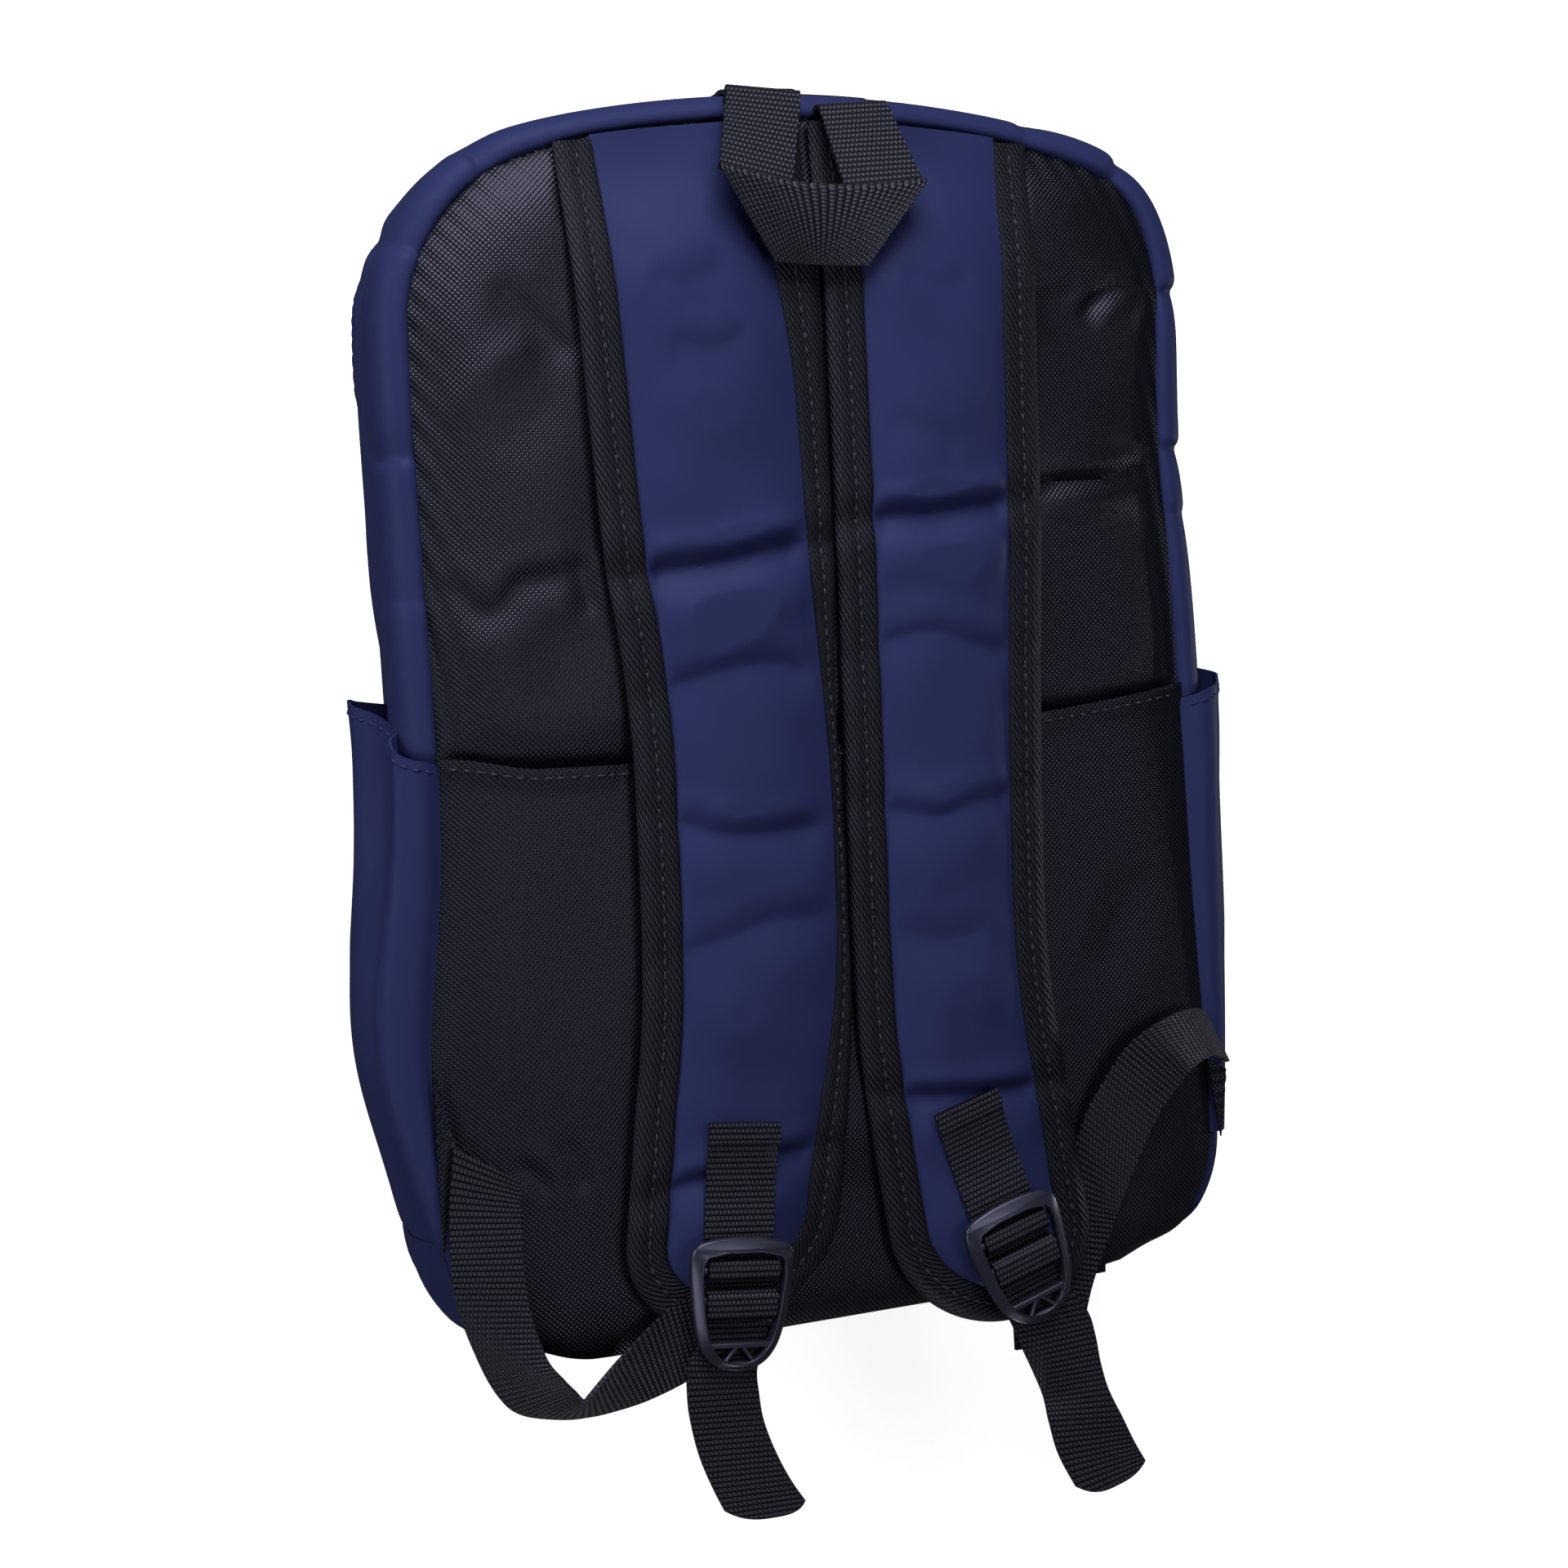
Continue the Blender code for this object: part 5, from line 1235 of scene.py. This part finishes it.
TAIL_EDGES = {
    "left": [
        (-0.0733, -0.2109, 0.1522, -0.0488, -0.2150, 0.1522),
        (-0.0742, -0.2222, 0.1518, -0.0487, -0.2249, 0.1518),
        (-0.0733, -0.2321, 0.1514, -0.0474, -0.2347, 0.1514),
        (-0.0710, -0.2438, 0.1516, -0.0438, -0.2462, 0.1516),
        (-0.0670, -0.2556, 0.1524, -0.0388, -0.2575, 0.1524),
        (-0.0620, -0.2674, 0.1535, -0.0321, -0.2685, 0.1535),
    ],
    "right": [
        (0.0480, -0.2166, 0.1522, 0.0774, -0.2154, 0.1522),
        (0.0517, -0.2262, 0.1520, 0.0802, -0.2248, 0.1522),
        (0.0559, -0.2358, 0.1508, 0.0817, -0.2353, 0.1524),
        (0.0601, -0.2460, 0.1490, 0.0843, -0.2456, 0.1526),
        (0.0608, -0.2545, 0.1512, 0.0894, -0.2571, 0.1524),
        (0.0636, -0.2673, 0.1524, 0.0938, -0.2673, 0.1524),
        (0.0718, -0.2847, 0.1536, 0.0989, -0.2776, 0.1536),
    ],
}


def on_buckle(side, u, v, z):
    """A point from its place across, along and above the underside of a buckle."""
    lean = math.radians(BUCKLES[side]["lean"])
    x, y = BUCKLES[side]["at"]
    return (x + u * math.cos(lean) - v * math.sin(lean), y + u * math.sin(lean) + v * math.cos(lean),
            BUCKLE_Z + z)


def through_buckle(side, path, width=WEBBING):
    return [(*on_buckle(side, -width / 2, v, z), *on_buckle(side, width / 2, v, z)) for v, z in path]


for side in BUCKLES:
    strip = lay_webbing(f"{side}_anchor_strip", through_buckle(side, ANCHOR_PATH), 110)
    hem_rails = through_buckle(side, HEM_PATH, WEBBING + 0.0006)
    hem = lay_webbing(f"{side}_anchor_hem", hem_rails, 10, thickness=0.0013)
    anchor = join([strip, hem], f"{side}_anchor_strap")
    dress(anchor, webbing, f"{side}_strap", [f"{side}_anchor_webbing"])

    tail_rails = through_buckle(side, TAIL_PATH) + TAIL_EDGES[side]
    tail = lay_webbing(f"{side}_tail_strap", tail_rails, 170, rounded=0.0050)
    dress(tail, webbing, f"{side}_adjuster", [f"{side}_tail_webbing"])

# %% [markdown]
# ## Lower webbing and its tabs
#
# From a cloth tab in each side seam, webbing runs in a slack loop to the buckle. The left one turns
# past the base, twists on edge there and comes back over the strap's end. The right one arches off the
# panel, passes under the strap and shows its cut end beside the tail. The tab stays with the shell.

# %% Lower webbing and its tabs
LOWER_EDGES = {
    "left": [
        (-0.1455, -0.1279, 0.1412, -0.1240, -0.1419, 0.1412),
        (-0.1489, -0.1523, 0.1412, -0.1250, -0.1557, 0.1412),
        (-0.1488, -0.1786, 0.1415, -0.1246, -0.1824, 0.1420),
        (-0.1424, -0.2005, 0.1390, -0.1201, -0.2020, 0.1440),
        (-0.1346, -0.2161, 0.1340, -0.1153, -0.2102, 0.1460),
        (-0.1260, -0.2247, 0.1290, -0.1119, -0.2147, 0.1470),
        (-0.1111, -0.2303, 0.1240, -0.1093, -0.2181, 0.1475),
        (-0.1017, -0.2306, 0.1255, -0.1072, -0.2164, 0.1480),
        (-0.0944, -0.2291, 0.1290, -0.1032, -0.2126, 0.1480),
        (-0.0845, -0.2245, 0.1380, -0.0940, -0.2044, 0.1478),
        (-0.0718, -0.2180, 0.1452, -0.0781, -0.1930, 0.1462),
        (-0.0605, -0.2120, 0.1457, -0.0649, -0.1870, 0.1457),
    ],
    "right": [
        (0.1514, -0.1372, 0.1340, 0.1418, -0.1163, 0.1340),
        (0.1389, -0.1320, 0.1440, 0.1295, -0.1137, 0.1430),
        (0.1289, -0.1341, 0.1480, 0.1166, -0.1159, 0.1470),
        (0.1217, -0.1402, 0.1480, 0.1029, -0.1228, 0.1480),
        (0.1130, -0.1518, 0.1460, 0.0936, -0.1345, 0.1460),
        (0.1075, -0.1643, 0.1430, 0.0868, -0.1464, 0.1430),
        (0.1019, -0.1781, 0.1400, 0.0803, -0.1635, 0.1400),
        (0.0967, -0.1903, 0.1388, 0.0714, -0.1836, 0.1388),
        (0.0894, -0.2054, 0.1388, 0.0640, -0.1975, 0.1388),
        (0.0846, -0.2183, 0.1388, 0.0559, -0.2113, 0.1388),
        (0.0822, -0.2307, 0.1388, 0.0547, -0.2301, 0.1388),
    ],
}
TABS = {
    "left": [(-0.1500, -0.1020), (-0.1440, -0.1286), (-0.1509, -0.1670)],
    "right": [(0.1405, -0.1340), (0.1484, -0.1390), (0.1448, -0.1640)],
}
TAB_LEVEL = 0.1372
for side, rails in LOWER_EDGES.items():
    lower = lay_webbing(f"{side}_lower_strap", rails, 170)
    dress(lower, webbing, None, [f"{side}_lower_webbing"])
    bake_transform(lower)

    corners = np.array(TABS[side])

    def tab_place(u, v):
        low = corners[0] + (corners[1] - corners[0]) * u[:, None]
        flat = low + (corners[2] - low) * v[:, None]
        ripple = 0.0004 * np.sin(flat[:, 1] * 1400) * (1 - v)
        return np.column_stack((flat, TAB_LEVEL + ripple))

    tab = lay_sheet(f"{side}_seam_tab", 30, 30, tab_place)
    weld(tab, outwards=True)
    thicken(tab, POCKET_CLOTH, 0.0)
    dress(tab, oxford, "shell", [f"{side}_webbing_tab"])

# %% [markdown]
# ## Grab handle
#
# The handle is one length of webbing. It comes out of the top seam as two legs, and between them it is
# folded forward into a band, with its ribs upright there. Three sheets make it: two legs, and a band
# whose upper edge curls back to meet them. It swings as one piece. Its sewn ends lie on the gusset
# and stay with the shell. The left one reaches over the roll, and the right one goes in at the seam.

# %% Grab handle
LEGS = [
    [(-0.0250, 0.2150, 0.1330, 0.0012, 0.2146, 0.1330), (-0.0254, 0.2186, 0.1368, 0.0010, 0.2172, 0.1368),
     (-0.0257, 0.2185, 0.1396, 0.0008, 0.2166, 0.1396),
     (-0.0282, 0.2111, 0.1432, -0.0019, 0.2081, 0.1432),
     (-0.0318, 0.2007, 0.1490, -0.0060, 0.1954, 0.1490), (-0.0354, 0.1891, 0.1540, -0.0100, 0.1830, 0.1540)],
    [(0.0070, 0.2112, 0.1340, 0.0322, 0.2128, 0.1340), (0.0071, 0.2128, 0.1370, 0.0324, 0.2144, 0.1370),
     (0.0072, 0.2120, 0.1398, 0.0326, 0.2136, 0.1398), (0.0078, 0.2046, 0.1432, 0.0340, 0.2065, 0.1432),
     (0.0083, 0.1936, 0.1490, 0.0359, 0.1953, 0.1490), (0.0094, 0.1819, 0.1540, 0.0383, 0.1844, 0.1540)],
]
BAND_TOP = [
    (-0.0358, 0.1888), (-0.0237, 0.1856), (-0.0108, 0.1828), (0.0086, 0.1815), (0.0248, 0.1823),
    (0.0382, 0.1840),
]
BAND_BASE = [
    (-0.0168, 0.1586), (-0.0104, 0.1580), (-0.0040, 0.1576), (0.0030, 0.1572), (0.0100, 0.1570),
    (0.0171, 0.1570),
]
BAND_Z, BAND_SHARE = 0.1566, 0.86
CURL = 0.0013


def band_place(u, v):
    rise = np.clip(v / BAND_SHARE, 0.0, 1.0)
    flat = curve(BAND_BASE, u) + (curve(BAND_TOP, u) - curve(BAND_BASE, u)) * rise[:, None]
    turn = np.clip((v - BAND_SHARE) / (1.0 - BAND_SHARE), 0.0, 1.0) * np.pi
    bow = 0.0012 * np.sin(np.pi * u) * np.sin(np.pi * rise)
    droop = 0.0050 * (1.0 - rise)
    height = BAND_Z + bow - droop - CURL * (1 - np.cos(turn))
    return np.column_stack((flat[:, 0], flat[:, 1] + CURL * np.sin(turn), height))


legs = [lay_webbing(f"handle_leg_{number}", rails, 50) for number, rails in enumerate(LEGS)]
band = lay_sheet("handle_band", 48, 40, band_place, lambda u, v: np.column_stack((v * 0.034, u * 0.060)))
thicken(band, WEBBING_THICK, 0.0)
handle = join([band, *legs], "grab_handle_webbing")
dress(handle, webbing, "handle", ["grab_handle"])

LOW_SECTION = [(0.0062, 0.1205), (0.0063, 0.1170), (0.0060, 0.1140), (0.0052, 0.1108)]
ENDS = {
    "left": (-0.0232, 0.0020, [
        (0.0016, 0.1352), (0.0046, 0.1326), (0.0061, 0.1290), (0.0066, 0.1250), *LOW_SECTION,
    ]),
    "right": (0.0060, 0.0310, [(0.0034, 0.1266), (0.0052, 0.1240), *LOW_SECTION]),
}
for side, (x0, x1, section) in ENDS.items():
    def anchor_place(u, v):
        outset, height = curve(section, v).T
        flat, _ = edge(GIRTH / 2 + x0 + (x1 - x0) * u, outset)
        return np.column_stack((flat, height))

    anchor = lay_sheet(f"{side}_handle_end", 16, 24, anchor_place, cut_flat(WEBBING, 0.028))
    thicken(anchor, WEBBING_THICK, 0.0)
    dress(anchor, webbing, "shell", [f"{side}_handle_anchor"])

# %% [markdown]
# ## Buckles
#
# A ladder-lock buckle is one moulding: a broad rim like a shield, a bar for the anchor webbing, a
# ladder bar that grips the tail, and a thumb grip with three triangular windows. The rim and the grip
# start as flat curves with holes, get their height and rounded edges from the curve's extrude and
# bevel, and become meshes. The rim's top then slopes down to its outside, where it catches a long
# highlight. The two bars are beveled boxes.

# %% Buckles
BUCKLE_HALF, BUCKLE_REACH, BUCKLE_HEIGHT = 0.0187, 0.0230, 0.0055
RIM_HALF = [
    (0.0, 1.0), (0.30, 0.99), (0.60, 0.96), (0.82, 0.91), (0.95, 0.82), (1.0, 0.66), (0.99, 0.42),
    (0.95, 0.14),
    (0.90, -0.14), (0.83, -0.42), (0.72, -0.66), (0.54, -0.85), (0.29, -0.965), (0.0, -1.0),
]
rim_half = curve(RIM_HALF, np.linspace(0.0, 1.0, 45)) * (BUCKLE_HALF, BUCKLE_REACH)
rim_edge = np.vstack((rim_half, rim_half[-2:0:-1] * (-1.0, 1.0)))
rim_turns, rim_reach = np.arctan2(*rim_edge.T), np.hypot(*rim_edge.T)
rim_hole = [(0.0130, 0.0164), (0.0144, 0.0144), *[(x * 0.78, y * 0.86) for x, y in rim_edge if y < 0.012],
            (-0.0144, 0.0144), (-0.0130, 0.0164), (-0.0060, 0.0178), (0.0060, 0.0178)]


def moulding(name, loops, low, high, bevel):
    """A flat moulding with rounded edges, from its outline and the outlines of its holes."""
    shape = bpy.data.curves.new(name, "CURVE")
    shape.dimensions = "2D"
    shape.fill_mode = "BOTH"
    for loop in loops:
        spline = shape.splines.new("POLY")
        spline.points.add(len(loop) - 1)
        for point, (x, y) in zip(spline.points, loop):
            point.co = (x, y, 0.0, 1.0)
        spline.use_cyclic_u = True
    shape.extrude = (high - low) / 2 - bevel
    shape.bevel_depth = bevel
    shape.bevel_resolution = 3
    shape.offset = -bevel
    plate = bpy.data.objects.new(name, shape)
    bpy.context.collection.objects.link(plate)
    activate(plate)
    bpy.ops.object.convert(target="MESH")
    plate = bpy.context.object
    plate.data.transform(Matrix.Translation((0.0, 0.0, (low + high) / 2)))
    weld(plate, outwards=True)
    return plate


def round_box(name, low, high, bevel):
    """A box from its lowest and highest corners, with rounded edges."""
    bpy.ops.object.select_all(action="DESELECT")
    middle = [(a + b) / 2 for a, b in zip(low, high)]
    bpy.ops.mesh.primitive_cube_add(size=1.0, location=middle, scale=[b - a for a, b in zip(low, high)])
    box = bpy.context.object
    box.name = box.data.name = name
    bpy.ops.object.transform_apply(location=True, rotation=True, scale=True)
    rounding = box.modifiers.new("rounding", "BEVEL")
    rounding.width = bevel
    rounding.segments = 3
    bpy.ops.object.modifier_apply(modifier=rounding.name)
    return box


GRIP_TOP = -0.0127
grip_edge = [(x * 0.87, y * 0.92) for x, y in rim_edge if y * 0.92 < GRIP_TOP - 0.0004]
grip_edge = [(0.0130, GRIP_TOP), *grip_edge, (-0.0130, GRIP_TOP)]
GRIP_WINDOWS = [
    [(-0.0042, -0.0193), (0.0042, -0.0193), (0.0006, -0.0148), (-0.0006, -0.0148)],
    [(-0.0094, -0.0147), (-0.0022, -0.0147), (-0.0054, -0.0187), (-0.0068, -0.0181)],
    [(0.0022, -0.0147), (0.0094, -0.0147), (0.0068, -0.0181), (0.0054, -0.0187)],
]
for side, buckle in BUCKLES.items():
    rim = moulding(f"{side}_buckle_rim", [rim_edge, rim_hole], 0.0, BUCKLE_HEIGHT, 0.0008)
    for vertex in rim.data.vertices:
        reach = np.interp(math.atan2(vertex.co.x, vertex.co.y), rim_turns, rim_reach, period=TAU)
        slope = smooth_step(0.78, 1.02, vertex.co.xy.length / reach)
        vertex.co.z -= 0.0028 * slope * (vertex.co.z > BUCKLE_HEIGHT / 2)
    grip = moulding(f"{side}_buckle_grip", [grip_edge, *GRIP_WINDOWS], 0.0008, 0.0040, 0.0006)
    bars = [
        round_box(f"{side}_{bar}_bar", (-0.0150, low, 0.0), (0.0150, high, 0.0025), 0.0009)
        for bar, low, high in (("anchor", 0.0098, 0.0132), ("ladder", -0.0034, 0.0026))
    ]
    frame_piece = join([rim, grip, *bars], f"{side}_ladder_buckle")
    leaned = Matrix.Rotation(math.radians(buckle["lean"]), 4, "Z")
    frame_piece.data.transform(Matrix.Translation((*buckle["at"], BUCKLE_Z)) @ leaned)
    dress(frame_piece, acetal, f"{side}_adjuster", [f"{side}_buckle"], angle=40)

# %% [markdown]
# ## Front panel, front pocket and lining
#
# The front can't be seen in the photograph, so it is kept plain: a shallow tray of navy cloth that
# hinges on the base, with a zipped pocket on it. Both are dishes laid in rings from their seam to
# their middle. The pocket swells, and rests on the floor only at its middle. A strip of the base
# stays with the front, and a fold of cloth lies behind it.

# %% Front panel, front pocket and lining
TRAY_RIM, LINING_LEVEL = 0.0513, 0.1206
TRAY = [
    (0.0, TRAY_RIM), (-0.004, 0.0470), (0.004, 0.0410), (0.030, 0.0362), (0.100, 0.0344), (0.40, 0.0343),
    (1.0, 0.0343),
]
HINGE_SECTION = [(0.0, 0.0582), (0.0012, 0.0565), (0.0012, 0.0540), (0.0002, 0.0516), (-0.0002, 0.0490)]
FOLD_SECTION = [
    (-0.0012, 0.0640), (-0.0011, 0.0600), (-0.0010, 0.0570), (-0.0011, 0.0540), (-0.0012, 0.0510),
]
POCKET_HALF, POCKET_LOW, POCKET_HIGH, POCKET_CORNER = 0.118, -0.190, 0.060, 0.030
POCKET_DISH = [
    (0.0, 0.0341), (-0.010, 0.0290), (-0.012, 0.0200), (0.000, 0.0105), (0.050, 0.0042), (0.180, 0.0012),
    (0.45, 0.0003), (1.0, 0.0002),
]


def dish_rings(rim, knots, v, middle, flush=0.0):
    """Rings from a rim to its middle line, from knots of (inset share, height).

    Where flush is 1, no ring stands out past the rim.
    """
    share, height = curve(knots, v).T
    share = np.where(share < 0, share * (1.0 - flush), share)
    return np.column_stack((rim + (middle - rim) * share[:, None], height))


def tray_place(u, v):
    run = GIRTH * u
    rim, _ = edge(run, -taper(run, np.full(len(u), TRAY_RIM)))
    return dish_rings(rim, TRAY, v, spine(run))


tray = lay_sheet("front_panel_cloth", 300, 40, tray_place)
weld(tray)
thicken(tray, 0.0018)
dress(tray, navy_cloth, "front", ["front_panel"])

hinge = hang("base_hinge_cloth", -SIDE_START, SIDE_START, HINGE_SECTION, 90, 12)
dress(hinge, navy_cloth, "front", ["base_hinge_gusset"])
hinge_fold = hang("base_hinge_fold", -BASE_FLAT, BASE_FLAT, FOLD_SECTION, 40, 20)
dress(hinge_fold, navy_cloth)
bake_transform(hinge_fold)

inner = POCKET_HALF - POCKET_CORNER
low, high = POCKET_LOW + POCKET_CORNER, POCKET_HIGH - POCKET_CORNER
pocket_loop = np.vstack([arc((x, y), POCKET_CORNER, start, start - 90) for x, y, start in (
    (-inner, low, 270), (-inner, high, 180), (inner, high, 90), (inner, low, 0),
)])
pocket_loop = np.vstack((pocket_loop, pocket_loop[:1]))
pocket_runs = distances(pocket_loop)


def front_pocket_place(u, v):
    rim = read_off(pocket_loop, pocket_runs, u * pocket_runs[-1])
    middle = np.column_stack((np.zeros(len(u)), np.clip(rim[:, 1], -0.120, -0.010)))
    flush = smooth_step(POCKET_HIGH - 0.012, POCKET_HIGH - 0.002, rim[:, 1])
    return dish_rings(rim, POCKET_DISH, v, middle, flush)


front_pocket = lay_sheet("front_pocket_cloth", 240, 44, front_pocket_place)
weld(front_pocket)
thicken(front_pocket, POCKET_CLOTH)
dress(front_pocket, navy_cloth, "front", ["front_pocket"])


def lining_place(u, v):
    run = GIRTH * u
    rim, _ = edge(run, -0.0030)
    flat = rim + (spine(run) - rim) * v[:, None]
    slack = 0.0006 * np.sin(flat[:, 0] * 90) * np.sin(flat[:, 1] * 70) * np.clip(v * 6, 0.0, 1.0)
    return np.column_stack((flat, LINING_LEVEL + slack))


back_lining = lay_sheet("back_lining_cloth", 200, 30, lining_place)
weld(back_lining)
thicken(back_lining, 0.0008)
dress(back_lining, lining, "shell", ["back_lining"])

# %% [markdown]
# ## Zips
#
# The main zip runs round the bag between the front and the shell, and a short one opens the front
# pocket. Each is a woven tape with a row of coil teeth. Real coil has about two turns in 3 mm. The
# teeth are plain wedges of eight points, because there are more than a thousand of them.

# %% Zips
TOOTH_PITCH, TOOTH_HEIGHT = 0.0016, 0.0016
TOOTH_FACES = [(0, 1, 3, 2), (4, 6, 7, 5), (0, 4, 5, 1), (2, 3, 7, 6), (0, 2, 6, 4), (1, 5, 7, 3)]
ZIP_FROM, ZIP_TO = SIDE_START - 0.0030, GIRTH - SIDE_START + 0.0030
POCKET_ZIP, POCKET_TAPE = 0.176, 0.012


def tooth_row(name, path, outs, way, reach):
    """Small wedges along a path, each pointing across the tape, up or down."""
    steps = distances(path)
    marks = np.arange(TOOTH_PITCH / 2, steps[-1], TOOTH_PITCH)
    out = read_off(outs, steps, marks)
    across = np.tile((0.0, 0.0, way), (len(marks), 1))
    corners = [(far * reach, side * wide * TOOTH_PITCH / 2, tall * TOOTH_HEIGHT)
               for far, wide in ((0.0, 0.55), (1.0, 0.30)) for tall in (-0.5, 0.5) for side in (-1, 1)]
    axes = across, np.cross(across, out), out
    return scatter(name, corners, TOOTH_FACES, read_off(path, steps, marks), axes)


for body, high, low, tooth_z, way in (
    ("shell", 0.0648, 0.0586, 0.0598, -1.0), ("front", 0.0577, 0.0515, 0.0566, 1.0),
):
    name = f"{body}_zip_tape"
    section = [(-0.0006, z) for z in (high, high - 0.002, low + 0.002, low)]
    tape = hang(name + "_cloth", ZIP_FROM, ZIP_TO, section, 320, 5)
    dress(tape, zip_cloth, body, [name])
    run = np.linspace(ZIP_FROM, ZIP_TO, 900)
    tooth_level = np.full(len(run), tooth_z)
    flat, out = edge(run, -0.0004 - taper(run, tooth_level))
    outs = np.column_stack((out, np.zeros(len(run))))
    teeth = tooth_row(name + "_teeth", np.column_stack((flat, tooth_level)), outs, way, 0.0020)
    dress(teeth, acetal, body)


def pocket_tape_place(u, v):
    return np.column_stack((POCKET_ZIP * (u - 0.5), np.full(len(u), 0.0612), 0.029 - POCKET_TAPE * v))


pocket_tape = lay_sheet("pocket_zip_cloth", 60, 8, pocket_tape_place, cut_flat(POCKET_ZIP, POCKET_TAPE))
thicken(pocket_tape, 0.0008)
dress(pocket_tape, zip_cloth, "front", ["pocket_zip_tape"])
for label, z, way in (("upper", 0.0242, -1.0), ("lower", 0.0218, 1.0)):
    path = np.array([(x, 0.0616, z) for x in np.linspace(-0.086, 0.086, 200)])
    outs = np.tile((0.0, 1.0, 0.0), (len(path), 1))
    teeth = tooth_row(f"pocket_zip_{label}_teeth", path, outs, way, 0.0016)
    dress(teeth, acetal, "front")

# %% [markdown]
# ## Zip sliders and pulls
#
# A slider is a small zinc casting: a body that is wider at its mouth, and a bridge on top that holds
# the pull. A box is drawn in at one end for the body, and the bridge is an arch of boxes. The pull is
# a flat plate with a round eye at its top and a slot at its foot.

# %% Zip sliders and pulls
BRIDGE, BRIDGE_HALF, BRIDGE_INSET = 0.0013, 0.0012, 0.0022
EYE, PULL_CORNER = 0.0013, 0.0020


def turn_points(first, last, count):
    """Cosines and sines of evenly spaced angles between two angles in degrees."""
    angles = np.radians(np.linspace(first, last, count))
    return list(zip(np.cos(angles), np.sin(angles)))


for kind in ("left_main", "right_main", "pocket"):
    slider_node, pull_node = f"{kind}_zip_slider", f"{kind}_zip_pull"
    low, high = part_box(slider_node)
    middle = [(a + b) / 2 for a, b in zip(low, high)]
    body = round_box(slider_node + "_body", low, (high[0], low[1] + 0.0026, high[2]), 0.0006)
    activate(body)
    bpy.ops.object.mode_set(mode="EDIT")
    bpy.ops.mesh.select_all(action="DESELECT")
    bpy.ops.object.mode_set(mode="OBJECT")
    for vertex in body.data.vertices:
        vertex.select = vertex.co.x > high[0] - 0.003
    bpy.ops.object.mode_set(mode="EDIT")
    bpy.ops.transform.resize(value=(1.0, 1.0, 0.62), center_override=(middle[0], low[1], middle[2]))
    bpy.ops.object.mode_set(mode="OBJECT")
    x0, x1 = low[0] + BRIDGE_INSET, high[0] - BRIDGE_INSET
    z0, z1 = middle[2] - BRIDGE_HALF, middle[2] + BRIDGE_HALF
    posts = [
        round_box(f"{slider_node}_post_{i}", (x, low[1] + 0.0020, z0),
                  (x + BRIDGE, high[1] - 0.0006, z1), 0.0004)
        for i, x in enumerate((x0, x1 - BRIDGE))
    ]
    bridge = round_box(slider_node + "_bridge", (x0, high[1] - BRIDGE, z0), (x1, high[1], z1), 0.0004)
    slider = join([body, *posts, bridge], slider_node + "_casting")
    dress(slider, zinc, f"{kind}_slider", [slider_node], angle=40)

    low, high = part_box(pull_node)
    half, length = (high[0] - low[0]) / 2, high[2] - low[2]
    top, foot = length / 2 - half, -length / 2
    outer = [(half * 0.72 * c, top + half * s) for c, s in turn_points(0, 180, 17)]
    corner = turn_points(0, 90, 5)
    outer += [(-half + PULL_CORNER * (1 - c), foot + PULL_CORNER * (1 - s)) for c, s in corner]
    outer += [(half - PULL_CORNER * (1 - s), foot + PULL_CORNER * (1 - c)) for c, s in corner]
    eye = [(EYE * c, top + 0.0006 + EYE * s) for c, s in turn_points(0, 345, 16)]
    slot_half, slot_low, slot_high = half * 0.42, foot + 0.0022, foot + length * 0.38
    slot = [(-slot_half, slot_low), (slot_half, slot_low), (slot_half, slot_high), (-slot_half, slot_high)]
    pull = moulding(pull_node + "_plate", [outer, eye, slot], -0.0009, 0.0009, 0.0004)
    middle = [(a + b) / 2 for a, b in zip(low, high)]
    pull.data.transform(Matrix.Translation(middle) @ Matrix.Rotation(math.radians(90), 4, "X"))
    dress(pull, zinc, f"{kind}_pull", [pull_node], angle=40)
